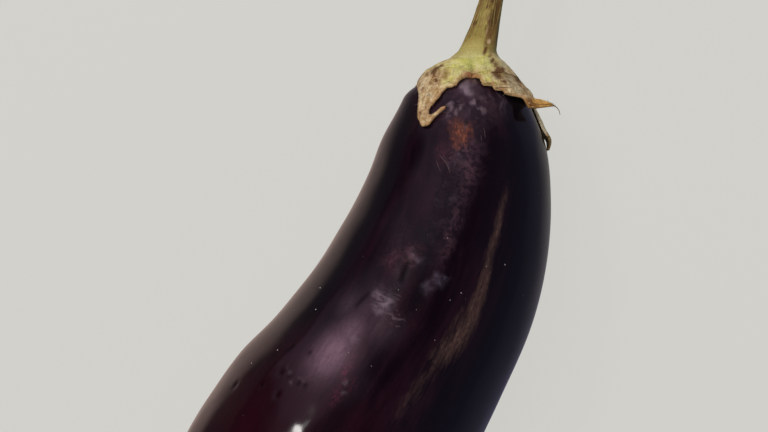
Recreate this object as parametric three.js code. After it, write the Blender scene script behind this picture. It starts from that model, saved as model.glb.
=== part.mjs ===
// An eggplant lying on its side: the long bent fruit, the lobed calyx that caps its neck, and its cut stem.
//
// Millimetres, +Z up, +Y towards the stem, +X to the right of someone who looks along +Y.
// A place on the fruit's skin is given by its distance along the fruit's centre line, which starts at the
// stem end, and by an angle round that line, from the top of the fruit towards +X.
// A place on the calyx is given by the same angle and by its distance from the foot of the stem,
// measured over the skin.
import * as THREE from "three";

// The fruit.
const FRUIT_LENGTH = 220; // along the bent centre line
const FRUIT_RADII = [
  [0, 18.2],
  [10, 22.4],
  [22, 28.0],
  [40, 32.4],
  [65, 36.8],
  [100, 40.1],
  [115, 42.0],
  [130, 45.3],
  [150, 46.8],
  [220, 46.8],
]; // distance along the centre line and radius there, before the two ends are rounded off
const CENTRE_HEIGHTS = [
  [0, 31.0],
  [40, 33.6],
  [80, 37.4],
  [125, 42.4],
  [160, 44.8],
  [220, 47.0],
]; // distance along the centre line and its height above the surface that the fruit lies on
const NECK_ROUNDING = 9; // length of the rounded neck end
const NECK_BLUNTNESS = 2.1; // 2 is an ellipse, more is blunter
const BLOSSOM_ROUNDING = 62; // length of the rounded blossom end
const BLOSSOM_SCAR = { radius: 5, depth: 1.2 };
const HEIGHT_TO_WIDTH = 0.97; // of the fruit's cross-section

// The centre line's heading, in degrees from -Y towards -X: it starts at the first value and takes each turn
// between two distances.
const FIRST_HEADING = -21;
const TURNS = [
  { from: 0, to: 112, by: 33.5 },
  { from: 130, to: 215, by: -14 },
];

// The underside: a long shallow rocker under the belly, pressed flat where the fruit rests.
const ROCKER = { radius: 1080, lowest: 124, sink: 0.7 };
const BELLY = { begins: 22, full: 58, fades: 170, ends: 205 };

// Shallow lengthwise swells, as the seed chambers push the skin out: how many go round, height, turn.
const SWELLS = [
  { count: 2, height: 0.3, turn: 0.4 },
  { count: 3, height: 0.3, turn: 1.9 },
  { count: 5, height: 0.2, turn: 0.8 },
];
const SWELL_RANGE = { begins: 30, full: 80, fades: 180, ends: 212 };

// The calyx.
const GAP = 0.3; // between touching pieces
const CROWN_RADIUS = 6.6; // where the crown meets the stem
const CROWN_TOP = 8.7; // height of that place above the fruit's pole
const CROWN_THICKNESS = [
  [6.6, 9.2],
  [8.3, 6.8],
  [12, 5.0],
  [16.3, 3.1],
  [20, 1.7],
  [26, 1.5],
  [60, 1.3],
]; // distance from the stem's foot and thickness of the calyx there
const MARGIN_THINNING = 0.42; // how much of its thickness a lobe loses towards its margins
const TIP_THICKNESS = 0.8;

// Notches between the lobes: angle in degrees and distance from the stem's foot.
const NOTCHES = [
  [-88, 19],
  [4, 16.8],
  [97, 19],
  [150, 18],
  [215, 18],
  [272, 19],
];

// Ribs of each lobe from its notches to its tip. A rib runs across the lobe: angle and distance of its left
// end, angle and distance of its right end, and how far it stands off the skin.
const LOBES = [
  {
    name: "hooked lobe",
    ribs: [
      [-55, 21.0, -12, 20.4, 0.3],
      [-45.5, 24.8, -22.5, 24.2, 0.3],
      [-41, 30.0, -28.2, 28.6, 0.3],
      [-37.8, 34.6, -30.2, 32.6, 0.3],
      [-34.4, 37.2, -29.8, 34.3, 0.3],
      [-31.2, 38.6, -28.2, 34.5, 0.4],
      [-27.6, 38.4, -25.8, 34.2, 0.5],
      [-23.8, 36.9, -23.0, 33.2, 0.6],
      [-20.0, 34.8, -20.0, 31.9, 0.8],
      [-16.6, 32.4, -17.2, 31.4, 1.0],
    ],
    scallops: 3,
    scallop: 0.03,
  },
  {
    name: "free pointed lobe",
    ribs: [
      [11, 21.4, 90, 22, 0.3],
      [18, 24.0, 83.5, 25, 0.6],
      [27, 26.2, 78.5, 27.3, 1.0],
      [37, 27.2, 74, 28.5, 1.5],
      [46, 28.0, 72, 29, 2.1],
      [54, 29.2, 72, 28.8, 2.8],
      [61, 30.4, 73, 29.2, 4.1],
      [67.5, 31.2, 74, 29.9, 5.6],
      [74.4, 31.6, 75.4, 31.2, 7.2],
    ],
    scallops: 5,
    scallop: 0.035,
  },
  {
    name: "curled lobe",
    ribs: [
      [92.5, 23, 143, 22, 0.2],
      [90, 27, 133, 27, 0.3],
      [88.5, 31, 122, 31, 0.3],
      [88, 34.6, 112, 34.6, 0.4],
      [88.5, 37.5, 104, 37.5, 0.3],
      [90, 39.5, 98.5, 39.5, 0.2],
      [91, 42.5, 97, 42.5, 0.2],
      [92, 45.5, 95, 45.5, 0.2],
    ],
    scallops: 3,
    scallop: 0.03,
    curl: { from: 39.2, radius: 1.5 },
  },
  {
    name: "lower lobe",
    ribs: [
      [157, 23, 208, 23, 0],
      [164, 28, 201, 28, 0],
      [170, 32.5, 195, 32.5, 0.1],
      [176.5, 37, 189, 37, 0.1],
      [182, 41, 183.4, 41, 0.1],
    ],
    scallops: 3,
    scallop: 0.03,
  },
  {
    name: "left lobe",
    ribs: [
      [220, 23, 256, 22.5, 0.1],
      [223, 28, 249, 27.5, 0.1],
      [226, 33, 244, 32.5, 0.2],
      [230, 37, 240, 36.5, 0.4],
      [234, 40, 235.6, 40, 0.8],
    ],
    scallops: 3,
    scallop: 0.03,
  },
];

// The stem: how far its centre stands to the side of and above the fruit's axis at each height over the pole.
const STEM_SIDEWAYS = [
  [-8, 0],
  [0, 1.0],
  [3, 1.8],
  [6, 3.8],
  [8.7, 4.9],
  [14, 6.7],
  [25, 9.7],
  [48, 15.5],
];
const STEM_UPWARDS = [
  [-8, 0],
  [0, 0],
  [8.7, 0.6],
  [25, 3.0],
  [48, 7.5],
];
const STEM_RADII = [
  [8.7, 6.6],
  [11.5, 6.0],
  [17, 5.0],
  [25, 4.2],
  [40, 3.9],
  [48, 4.1],
];
const STEM_END = 48; // height of the cut end over the fruit's pole
const STEM_RIDGES = { count: 5, height: 0.22, turn: 0.5, twist: 0.012 };

// How finely the solids are faceted.
const FRUIT_SIDES = 48;
const NECK_RINGS = 7;
const BODY_RINGS = 24;
const BLOSSOM_RINGS = 12;
const LOBE_COLUMNS = 8;
const CROWN_ROWS = 7;
const ROWS_PER_RIB = 2;
const STEM_SIDES = 30;
const STEM_RINGS = 14;

const RIPE_SKIN = new THREE.MeshStandardMaterial({ color: 0x21131f, roughness: 0.25, metalness: 0 });
const DRIED_CALYX = new THREE.MeshStandardMaterial({ color: 0xc3a97e, roughness: 0.8, metalness: 0 });
const GREEN_STEM = new THREE.MeshStandardMaterial({ color: 0x9a9250, roughness: 0.7, metalness: 0 });

const UP = new THREE.Vector3(0, 0, 1);

// Rises smoothly from 0 at `from` to 1 at `to`.
function rise(from, to, value) {
  return THREE.MathUtils.smoothstep(value, from, to);
}

// A smooth curve through a list of [place, value] pairs, straight at both ends.
function curveThrough(pairs) {
  const slopes = pairs.slice(1).map((pair, i) => (pair[1] - pairs[i][1]) / (pair[0] - pairs[i][0]));
  const tangents = pairs.map((pair, i) => {
    if (i === 0) return slopes[0];
    if (i === pairs.length - 1) return slopes[i - 1];
    const before = pair[0] - pairs[i - 1][0];
    const after = pairs[i + 1][0] - pair[0];
    return (slopes[i - 1] * after + slopes[i] * before) / (before + after);
  });
  return (place) => {
    let i = 0;
    while (i < pairs.length - 2 && place > pairs[i + 1][0]) i += 1;
    const [start, first] = pairs[i];
    const [end, last] = pairs[i + 1];
    const span = end - start;
    const u = THREE.MathUtils.clamp((place - start) / span, 0, 1);
    const startPart = (1 + 2 * u) * (1 - u) ** 2 * first + u * (1 - u) ** 2 * span * tangents[i];
    const endPart = u ** 2 * (3 - 2 * u) * last + u ** 2 * (u - 1) * span * tangents[i + 1];
    return startPart + endPart;
  };
}

const bodyRadius = curveThrough(FRUIT_RADII);
const centreHeight = curveThrough(CENTRE_HEIGHTS);
const crownThickness = curveThrough(CROWN_THICKNESS);
const stemSideways = curveThrough(STEM_SIDEWAYS);
const stemUpwards = curveThrough(STEM_UPWARDS);
const stemRadius = curveThrough(STEM_RADII);

// The share of the body's radius that the two rounded ends leave.
function endRounding(along) {
  const neck = Math.max(0, 1 - along / NECK_ROUNDING);
  const blossom = THREE.MathUtils.clamp((along - FRUIT_LENGTH) / BLOSSOM_ROUNDING + 1, 0, 1);
  return (1 - neck ** NECK_BLUNTNESS) ** (1 / NECK_BLUNTNESS) * Math.sqrt(1 - blossom ** 2);
}

// The direction of the centre line, away from the stem.
function centreDirection(along) {
  const turned = TURNS.reduce((sum, turn) => sum + turn.by * rise(turn.from, turn.to, along), FIRST_HEADING);
  const heading = THREE.MathUtils.degToRad(turned);
  const step = 0.05;
  const climb = (centreHeight(along + step) - centreHeight(along - step)) / (2 * step);
  const level = Math.sqrt(1 - climb ** 2);
  return new THREE.Vector3(-Math.sin(heading) * level, -Math.cos(heading) * level, climb).normalize();
}

// The centre line, walked in small steps.
const CENTRE_STEP = 0.1;
const centreWalk = [new THREE.Vector3(0, 0, 0)];
for (let along = 0; along < FRUIT_LENGTH; along += CENTRE_STEP) {
  const stride = centreDirection(along + CENTRE_STEP / 2).setZ(0).multiplyScalar(CENTRE_STEP);
  centreWalk.push(centreWalk[centreWalk.length - 1].clone().add(stride));
}

function centrePoint(along) {
  const place = THREE.MathUtils.clamp(along / CENTRE_STEP, 0, centreWalk.length - 1);
  const before = Math.min(Math.floor(place), centreWalk.length - 2);
  return centreWalk[before].clone().lerp(centreWalk[before + 1], place - before).setZ(centreHeight(along));
}

// Directions square to the centre line: `side` is level and points to +X, `top` points up.
function crossDirections(along) {
  const forward = centreDirection(along);
  const side = new THREE.Vector3().crossVectors(forward, UP).normalize().negate();
  const top = new THREE.Vector3().crossVectors(side, forward).normalize().negate();
  return { forward, side, top };
}

function swell(along, angle) {
  const { begins, full, fades, ends } = SWELL_RANGE;
  const range = rise(begins, full, along) * (1 - rise(fades, ends, along));
  return SWELLS.reduce((sum, s) => sum + s.height * Math.cos(s.count * angle + s.turn), 0) * range;
}

// A point on the fruit's skin. Angles are in radians here.
function skinPoint(along, angle) {
  const { forward, side, top } = crossDirections(along);
  const rounding = endRounding(along);
  const radius = (bodyRadius(along) + swell(along, angle)) * rounding;
  const belly = rise(BELLY.begins, BELLY.full, along) * (1 - rise(BELLY.fades, BELLY.ends, along));
  const clearance = (along - ROCKER.lowest) ** 2 / (2 * ROCKER.radius) - ROCKER.sink;
  const round = HEIGHT_TO_WIDTH * (bodyRadius(along) + swell(along, angle));
  const underside = THREE.MathUtils.lerp(round, centreHeight(along) - clearance, belly) * rounding;
  const height = Math.cos(angle) > 0 ? HEIGHT_TO_WIDTH * radius : underside;
  const inScar = Math.min(1, radius / BLOSSOM_SCAR.radius);
  const sunk = along > FRUIT_LENGTH / 2 ? BLOSSOM_SCAR.depth * (1 - inScar ** 2) ** 2 : 0;
  const point = centrePoint(along)
    .addScaledVector(side, radius * Math.sin(angle))
    .addScaledVector(top, height * Math.cos(angle))
    .addScaledVector(forward, -sunk);
  point.z = Math.max(point.z, 0);
  return point;
}

// Distances over the skin from the fruit's pole, in steps that are fine at the pole.
const overSkin = [{ along: 0, distance: 0, radius: 0 }];
const SKIN_STEPS = 800;
for (let i = 1; i <= SKIN_STEPS; i += 1) {
  const along = 70 * (i / SKIN_STEPS) ** 2;
  const radius = bodyRadius(along) * endRounding(along);
  const last = overSkin[overSkin.length - 1];
  const distance = last.distance + Math.hypot(along - last.along, radius - last.radius);
  overSkin.push({ along, distance, radius });
}

// The place along the centre line of a place at a distance over the skin from the pole.
function alongAt(distance) {
  let i = 1;
  while (i < overSkin.length - 1 && overSkin[i].distance < distance) i += 1;
  const [before, after] = [overSkin[i - 1], overSkin[i]];
  const share = (distance - before.distance) / (after.distance - before.distance);
  return THREE.MathUtils.lerp(before.along, after.along, share);
}

// A point on the skin by its angle in degrees and its distance from the pole, with the skin's outward normal.
function overPole(degrees, distance) {
  const angle = THREE.MathUtils.degToRad(degrees);
  const step = 0.05;
  const at = (d, a) => skinPoint(alongAt(d), a);
  const point = at(distance, angle);
  const outwards = at(distance + step, angle).sub(at(Math.max(distance - step, 0), angle));
  const round = at(distance, angle + step).sub(at(distance, angle - step));
  return { point, normal: outwards.cross(round).normalize() };
}

// Collects points and faces, and makes them into one closed mesh.
class Solid {
  constructor() {
    this.points = [];
    this.faces = [];
  }

  add(point) {
    this.points.push(point);
    return this.points.length - 1;
  }

  triangle(a, b, c) {
    this.faces.push([a, b, c]);
  }

  quad(a, b, c, d) {
    this.triangle(a, b, c);
    this.triangle(a, c, d);
  }

  // A band of quads between two rows of points, closed to a ring if asked.
  band(row, next, closed) {
    const count = closed ? row.length : row.length - 1;
    for (let i = 0; i < count; i += 1) {
      const j = (i + 1) % row.length;
      this.quad(row[i], next[i], next[j], row[j]);
    }
  }

  // A cap of triangles from a ring to a point.
  fan(ring, tip) {
    ring.forEach((corner, i) => this.triangle(ring[(i + 1) % ring.length], corner, tip));
  }

  mesh(name, material) {
    const geometry = new THREE.BufferGeometry().setFromPoints(this.points);
    geometry.setIndex(this.faces.flat());
    geometry.computeVertexNormals();
    const mesh = new THREE.Mesh(geometry, material);
    mesh.name = name;
    return mesh;
  }
}

// The rings of the fruit, close together where its ends are rounded.
function fruitRings() {
  const quarter = Math.PI / 2;
  const places = [];
  for (let i = 1; i <= NECK_RINGS; i += 1) {
    places.push(NECK_ROUNDING * (1 - Math.cos((quarter * i) / NECK_RINGS)));
  }
  const bodyEnd = FRUIT_LENGTH - BLOSSOM_ROUNDING;
  for (let i = 1; i <= BODY_RINGS; i += 1) {
    places.push(THREE.MathUtils.lerp(NECK_ROUNDING, bodyEnd, i / BODY_RINGS));
  }
  for (let i = 1; i < BLOSSOM_RINGS; i += 1) {
    places.push(bodyEnd + BLOSSOM_ROUNDING * Math.sin((quarter * i) / BLOSSOM_RINGS));
  }
  return places;
}

function makeFruit() {
  const solid = new Solid();
  const rings = fruitRings().map((along) =>
    Array.from({ length: FRUIT_SIDES }, (_, i) => solid.add(skinPoint(along, (2 * Math.PI * i) / FRUIT_SIDES))),
  );
  rings.slice(1).forEach((ring, i) => solid.band(rings[i], ring, true));
  solid.fan([...rings[0]].reverse(), solid.add(skinPoint(0, 0)));
  solid.fan(rings[rings.length - 1], solid.add(skinPoint(FRUIT_LENGTH, 0)));
  return solid.mesh("fruit", RIPE_SKIN);
}

// The middle of the crown or the stem at a height over the fruit's pole.
const pole = skinPoint(0, 0);
const poleDirections = crossDirections(0);
function stemCentre(height) {
  return pole
    .clone()
    .addScaledVector(poleDirections.forward, -height)
    .addScaledVector(poleDirections.side, stemSideways(height))
    .addScaledVector(poleDirections.top, stemUpwards(height));
}

function stemPoint(height, degrees, radius) {
  const angle = THREE.MathUtils.degToRad(degrees);
  return stemCentre(height)
    .addScaledVector(poleDirections.side, radius * Math.sin(angle))
    .addScaledVector(poleDirections.top, radius * Math.cos(angle));
}

// A point between two places, each an angle and a distance over the skin.
function between(left, right, share) {
  return [THREE.MathUtils.lerp(left[0], right[0], share), THREE.MathUtils.lerp(left[1], right[1], share)];
}

// A place's share of the way from a lobe's middle line (0) to its margins (1).
function towardsMargin(column) {
  return Math.abs((2 * column) / LOBE_COLUMNS - 1);
}

// The inner and outer point of the crown, at one place of its rows and columns.
function crownPair(index, row, column) {
  const [degrees, notch] = between(NOTCHES[index], NOTCHES[index + 1], column / LOBE_COLUMNS);
  const distance = CROWN_RADIUS + (notch - CROWN_RADIUS) * (row / CROWN_ROWS) ** 1.4;
  const { point, normal } = overPole(degrees, distance);
  const inner = point.clone().addScaledVector(normal, GAP);
  if (row === 0) return { inner, outer: stemPoint(CROWN_TOP, degrees, CROWN_RADIUS) };
  const valley = MARGIN_THINNING * towardsMargin(column) ** 4 * rise(CROWN_RADIUS, notch, distance);
  const axial = poleDirections.forward.clone().negate();
  const direction = axial.lerp(normal, rise(CROWN_RADIUS, 17, distance)).normalize();
  const outer = inner.clone().addScaledVector(direction, crownThickness(distance) * (1 - valley));
  return { inner, outer: leanWithStem(outer) };
}

// Moves a point of the crown sideways and up with the stem.
function leanWithStem(point) {
  const height = -point.clone().sub(pole).dot(poleDirections.forward);
  return point
    .addScaledVector(poleDirections.side, stemSideways(height))
    .addScaledVector(poleDirections.top, stemUpwards(height));
}

// The ribs of a lobe, its notch line first, as smooth curves of the rib's number.
function lobeCurves(index) {
  const notchLine = [...NOTCHES[index], ...NOTCHES[index + 1], 0];
  const ribs = [notchLine, ...LOBES[index].ribs];
  return notchLine.map((_, value) => curveThrough(ribs.map((rib, number) => [number, rib[value]])));
}

// The inner points of a lobe, row by row, rolled up past the place where it curls.
function lobeInnerRows(index) {
  const { ribs, scallops, scallop, curl } = LOBES[index];
  const [leftAngle, leftDistance, rightAngle, rightDistance, standOff] = lobeCurves(index);
  const rows = ribs.length * ROWS_PER_RIB;
  return Array.from({ length: rows + 1 }, (_, row) => {
    const number = row / ROWS_PER_RIB;
    const left = [leftAngle(number), leftDistance(number)];
    const right = [rightAngle(number), rightDistance(number)];
    const fade = Math.sin((Math.PI * row) / rows);
    const wave = scallop * fade * Math.sin((2 * Math.PI * scallops * row) / rows);
    return Array.from({ length: LOBE_COLUMNS + 1 }, (_, column) => {
      const share = 0.5 + (column / LOBE_COLUMNS - 0.5) * (1 + wave);
      let [degrees, distance] = between(left, right, share);
      let lift = GAP + standOff(number);
      if (curl && distance > curl.from) {
        const rolled = (distance - curl.from) / curl.radius;
        distance = curl.from + curl.radius * Math.sin(rolled);
        lift += curl.radius * (1 - Math.cos(rolled));
      }
      const { point, normal } = overPole(degrees, distance);
      return point.addScaledVector(normal, lift);
    });
  });
}

// The outward normal of a grid of points at one of its places.
function gridNormal(grid, row, column) {
  const down = grid[Math.min(row + 1, grid.length - 1)][column].clone().sub(grid[Math.max(row - 1, 0)][column]);
  const lastColumn = grid[row].length - 1;
  const across = grid[row][Math.min(column + 1, lastColumn)].clone().sub(grid[row][Math.max(column - 1, 0)]);
  return down.cross(across).normalize();
}

function lobeOuterRows(index, inner) {
  const rows = inner.length - 1;
  const curves = lobeCurves(index);
  return inner.map((line, row) =>
    line.map((point, column) => {
      const number = row / ROWS_PER_RIB;
      const distance = (curves[1](number) + curves[3](number)) / 2;
      const margin = 1 - MARGIN_THINNING * towardsMargin(column) ** 3;
      const thickness = crownThickness(distance) * margin;
      const tapered = THREE.MathUtils.lerp(thickness, TIP_THICKNESS, (row / rows) ** 2);
      return point.clone().addScaledVector(gridNormal(inner, row, column), tapered);
    }),
  );
}

// The crown's rings and the lobes' rows share the notch line. The outer face, the inner face and the rim
// between them close the calyx.
function makeCalyx() {
  const solid = new Solid();
  const crown = { inner: [], outer: [] };
  for (let row = 0; row <= CROWN_ROWS; row += 1) {
    const ring = { inner: [], outer: [] };
    LOBES.forEach((_, index) => {
      for (let column = 0; column < LOBE_COLUMNS; column += 1) {
        const pair = crownPair(index, row, column);
        ring.inner.push(solid.add(pair.inner));
        ring.outer.push(solid.add(pair.outer));
      }
    });
    crown.inner.push(ring.inner);
    crown.outer.push(ring.outer);
  }
  for (let row = 0; row < CROWN_ROWS; row += 1) {
    solid.band(crown.outer[row], crown.outer[row + 1], true);
    solid.band([...crown.inner[row]].reverse(), [...crown.inner[row + 1]].reverse(), true);
  }
  const { point, normal } = overPole(0, 0.2);
  solid.fan([...crown.outer[0]].reverse(), solid.add(stemCentre(CROWN_TOP)));
  solid.fan(crown.inner[0], solid.add(point.clone().addScaledVector(normal, GAP)));

  const ringSize = LOBES.length * LOBE_COLUMNS;
  LOBES.forEach((_, index) => {
    const places = Array.from({ length: LOBE_COLUMNS + 1 }, (_, i) => (index * LOBE_COLUMNS + i) % ringSize);
    const innerPoints = lobeInnerRows(index);
    const outerPoints = lobeOuterRows(index, innerPoints);
    const rowsOf = (points, ring) => [
      places.map((place) => ring[place]),
      ...points.slice(1).map((line) => line.map((p) => solid.add(p))),
    ];
    const inner = rowsOf(innerPoints, crown.inner[CROWN_ROWS]);
    const outer = rowsOf(outerPoints, crown.outer[CROWN_ROWS]);
    outer.slice(1).forEach((row, i) => solid.band(outer[i], row, false));
    inner.slice(1).forEach((row, i) => solid.band([...inner[i]].reverse(), [...row].reverse(), false));
    const edge = (rows) => [
      ...rows.map((row) => row[0]),
      ...rows[rows.length - 1].slice(1, -1),
      ...rows.map((row) => row[LOBE_COLUMNS]).reverse(),
    ];
    solid.band(edge(outer), edge(inner), false);
  });
  return solid.mesh("calyx", DRIED_CALYX);
}

function makeStem() {
  const solid = new Solid();
  const foot = CROWN_TOP + GAP;
  const rings = Array.from({ length: STEM_RINGS + 1 }, (_, ring) => {
    const height = THREE.MathUtils.lerp(STEM_END, foot, ring / STEM_RINGS);
    const { count, height: ridge, turn, twist } = STEM_RIDGES;
    const raised = ridge * rise(foot, foot + 6, height);
    return Array.from({ length: STEM_SIDES }, (_, i) => {
      const degrees = (360 * i) / STEM_SIDES;
      const angle = THREE.MathUtils.degToRad(degrees);
      const radius = stemRadius(height) + raised * Math.cos(count * angle + turn + twist * (height - foot));
      return solid.add(stemPoint(height, degrees, radius));
    });
  });
  rings.slice(1).forEach((ring, i) => solid.band(rings[i], ring, true));
  solid.fan([...rings[0]].reverse(), solid.add(stemCentre(STEM_END)));
  solid.fan(rings[STEM_RINGS], solid.add(stemCentre(foot)));
  return solid.mesh("stem", GREEN_STEM);
}

// The three pieces together, with the origin on the surface they lie on, under the middle of their box.
const laid = new THREE.Group();
laid.add(makeFruit(), makeCalyx(), makeStem());
const box = new THREE.Box3().setFromObject(laid);
const middle = box.getCenter(new THREE.Vector3());
laid.position.set(-middle.x, -middle.y, -box.min.z);

const eggplant = new THREE.Group();
eggplant.add(laid);
export default eggplant;
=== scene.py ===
# The looks of an eggplant lying on its side: glossy dark skin, a dried lobed calyx and a cut green stem.
#
# Forms are worked out in millimetres, as in the part's own source, and set into the frame in metres.
# A place on the skin is given by its distance along the fruit's centre line, which starts at the stem end,
# and by an angle in degrees round that line, from the top of the fruit towards +X.
# A place on the calyx is given by the same angle and by its distance over the skin from the foot of the stem.
import math

import bpy
import numpy as np
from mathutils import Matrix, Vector


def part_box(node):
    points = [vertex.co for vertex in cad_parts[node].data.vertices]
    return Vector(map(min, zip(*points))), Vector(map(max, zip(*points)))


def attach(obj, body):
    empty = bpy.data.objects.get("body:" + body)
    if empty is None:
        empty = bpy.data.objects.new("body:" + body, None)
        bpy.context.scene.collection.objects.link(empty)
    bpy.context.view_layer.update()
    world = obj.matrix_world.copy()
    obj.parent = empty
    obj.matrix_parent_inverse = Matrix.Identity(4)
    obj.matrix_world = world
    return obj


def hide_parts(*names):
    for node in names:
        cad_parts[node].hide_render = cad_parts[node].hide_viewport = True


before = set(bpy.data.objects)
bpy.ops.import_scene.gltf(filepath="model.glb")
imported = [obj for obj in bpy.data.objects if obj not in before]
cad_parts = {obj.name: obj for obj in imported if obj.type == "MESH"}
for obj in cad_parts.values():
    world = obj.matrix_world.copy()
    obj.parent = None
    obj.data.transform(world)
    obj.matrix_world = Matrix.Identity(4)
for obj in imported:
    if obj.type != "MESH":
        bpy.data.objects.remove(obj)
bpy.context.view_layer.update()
MM = 0.001

# ---------------------------------------------------------------- the fruit's form, shared with the solids

FRUIT_LENGTH = 220
FRUIT_RADII = [(0, 18.2), (10, 22.4), (22, 28.0), (40, 32.4), (65, 36.8), (100, 40.1), (115, 42.0),
               (130, 45.3), (150, 46.8), (220, 46.8)]
CENTRE_HEIGHTS = [(0, 31.0), (40, 33.6), (80, 37.4), (125, 42.4), (160, 44.8), (220, 47.0)]
NECK_ROUNDING = 9
NECK_BLUNTNESS = 2.1
BLOSSOM_ROUNDING = 62
BLOSSOM_SCAR_RADIUS = 5
BLOSSOM_SCAR_DEPTH = 1.2
HEIGHT_TO_WIDTH = 0.97
FIRST_HEADING = -21
TURNS = [(0, 112, 33.5), (130, 215, -14)]  # from, to, by how many degrees
ROCKER_RADIUS = 1080
ROCKER_LOWEST = 124
ROCKER_SINK = 0.7
BELLY = (22, 58, 170, 205)
SWELLS = [(2, 0.3, 0.4), (3, 0.3, 1.9), (5, 0.2, 0.8)]  # how many go round, height, turn
SWELL_RANGE = (30, 80, 180, 212)

GAP = 0.3
CROWN_RADIUS = 6.6
CROWN_TOP = 8.7
CROWN_THICKNESS = [(6.6, 9.2), (8.3, 6.8), (12, 5.0), (16.3, 3.1), (20, 1.7), (26, 1.5), (60, 1.3)]
MARGIN_THINNING = 0.42
TIP_THICKNESS = 0.8
NOTCHES = [(-88, 12.5), (5, 16.2), (97, 19), (150, 18), (215, 18), (272, 12.5)]
NOTCH_ROUND = 1.7  # radius of the rounded bottom of each notch
NOTCH_LIFT = 0.6  # how far each notch then moves back towards the stem
NOTCH_REACH = 9  # degrees to each side over which it does

# Ribs across each lobe: angle and distance of the left end, of the right end, and the stand-off. The
# scallop is the share by which the lobe's width waves, and teeth is the relative depth of its teeth.
HOOKED_LOBE = {
    "ribs": [(-68, 17.0, -4.5, 18.6, 0.3), (-56, 20.8, -9.2, 21.2, 0.3), (-53, 21.8, -10.4, 22.4, 0.3),
             (-50, 22.8, -14.4, 23.0, 0.3), (-47.5, 23.9, -19.6, 23.6, 0.3), (-45, 25.3, -22.2, 25.2, 0.3),
             (-43, 27.6, -25.0, 27.3, 0.3), (-41.5, 30.0, -28.3, 29.6, 0.3), (-39.6, 32.6, -30.8, 31.6, 0.3),
             (-38.2, 34.8, -30.6, 33.5, 0.3), (-34.8, 37.2, -29.6, 34.3, 0.3),
             (-31.4, 38.9, -28.0, 34.7, 0.4), (-27.0, 38.3, -25.6, 34.4, 0.5),
             (-24.4, 36.1, -22.8, 33.3, 0.6), (-20.6, 33.9, -19.8, 32.0, 0.8),
             (-16.8, 32.1, -17.0, 31.5, 1.0)],
    "scallop": 0, "teeth": 0.6}
FREE_LOBE = {
    "ribs": [(14.6, 18.2, 94, 20.2, 0.3), (15.0, 20.8, 91.5, 21.5, 0.3), (16.4, 22.4, 89.0, 22.6, 0.35),
             (20.2, 21.9, 87.0, 23.6, 0.6), (22.9, 22.2, 85.0, 24.4, 0.85), (24.8, 24.4, 83.0, 25.1, 0.95),
             (31.6, 24.4, 80.5, 26.0, 1.0), (34.0, 25.7, 78.5, 26.6, 1.05), (38.6, 26.4, 75.0, 27.2, 1.3),
             (43.5, 26.9, 72, 27.6, 1.8), (48.3, 27.8, 68.5, 27.9, 2.5), (48.0, 29.8, 66, 28.2, 3.2),
             (47.0, 31.9, 64, 28.6, 3.8), (51.0, 32.5, 63.5, 29.0, 4.6), (58.5, 32.3, 66, 29.8, 5.6),
             (70.5, 31.8, 72, 31.1, 7.0)],
    "scallop": 0, "teeth": 0.6}
CURLED_LOBE = {
    "ribs": [(92.5, 23, 143, 22, 0.2), (88.5, 27, 133, 27, 0.15), (85, 31, 122, 31, 0.1),
             (81.5, 34.0, 113, 34.0, 0.05), (80, 36.0, 108, 36.0, 0.1), (80.5, 38.0, 104, 38.0, 0.5),
             (83, 39.8, 100, 39.8, 1.1), (87.5, 41.4, 98, 41.4, 0.8), (91.5, 42.8, 95, 42.8, 0.1)],
    "scallop": 0.03, "teeth": 0.6}
LOWER_LOBE = {
    "ribs": [(157, 23, 208, 23, 0), (164, 28, 201, 28, 0), (170, 32.5, 195, 32.5, 0.1),
             (176.5, 37, 189, 37, 0.1), (182, 41, 183.4, 41, 0.1)],
    "scallop": 0.03, "teeth": 1.0}
LEFT_LOBE = {
    "ribs": [(216.5, 20, 256, 15, 0.1), (219, 24.5, 250, 19, 0.1), (222, 29, 243.5, 24.5, 0.1),
             (226, 33.5, 240, 30.5, 0.2), (230.5, 37.5, 238.5, 36, 0.4), (235, 41, 237, 40.8, 0.8)],
    "scallop": 0.03, "teeth": 1.0}
LOBES = [HOOKED_LOBE, FREE_LOBE, CURLED_LOBE, LOWER_LOBE, LEFT_LOBE]

STEM_SIDEWAYS = [(-8, 0), (0, 1.0), (3, 1.8), (6, 3.8), (8.7, 4.9), (14, 6.7), (25, 9.7), (48, 15.5)]
STEM_UPWARDS = [(-8, 0), (0, 0), (8.7, 0.6), (25, 3.0), (48, 7.5)]
STEM_RADII = [(8.7, 6.6), (11.5, 6.0), (17, 5.0), (25, 4.2), (40, 3.9), (48, 4.1)]
STEM_END = 48
STEM_RIDGES = {"count": 5, "height": 0.22, "turn": 0.5, "twist": 0.012}
FINE_RIDGES = {"count": 13, "height": 0.07, "turn": 0.8, "twist": 0.03}
BARK_UNEVENNESS = 0.06

# How finely the visible pieces are meshed.
FRUIT_SIDES = 320
TOP_CLOSENESS = 0.5  # how much closer the sides lie on the top than on average
NECK_RINGS = 14
BODY_RINGS = 226
BLOSSOM_RINGS = 58
LOBE_COLUMNS = 52
CROWN_ROWS = 50
ROWS_PER_RIB = 8
RIM_ROWS = 3
STEM_SIDES = 96
STEM_RINGS = 150


def rise(start, end, value):
    """Rises smoothly from 0 at start to 1 at end."""
    share = np.clip((np.asarray(value, float) - start) / (end - start), 0, 1)
    return share * share * (3 - 2 * share)


def hump(begins, full, fades, ends, value):
    return rise(begins, full, value) * (1 - rise(fades, ends, value))


def unit(vectors):
    return vectors / np.maximum(np.linalg.norm(vectors, axis=-1, keepdims=True), 1e-12)


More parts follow.
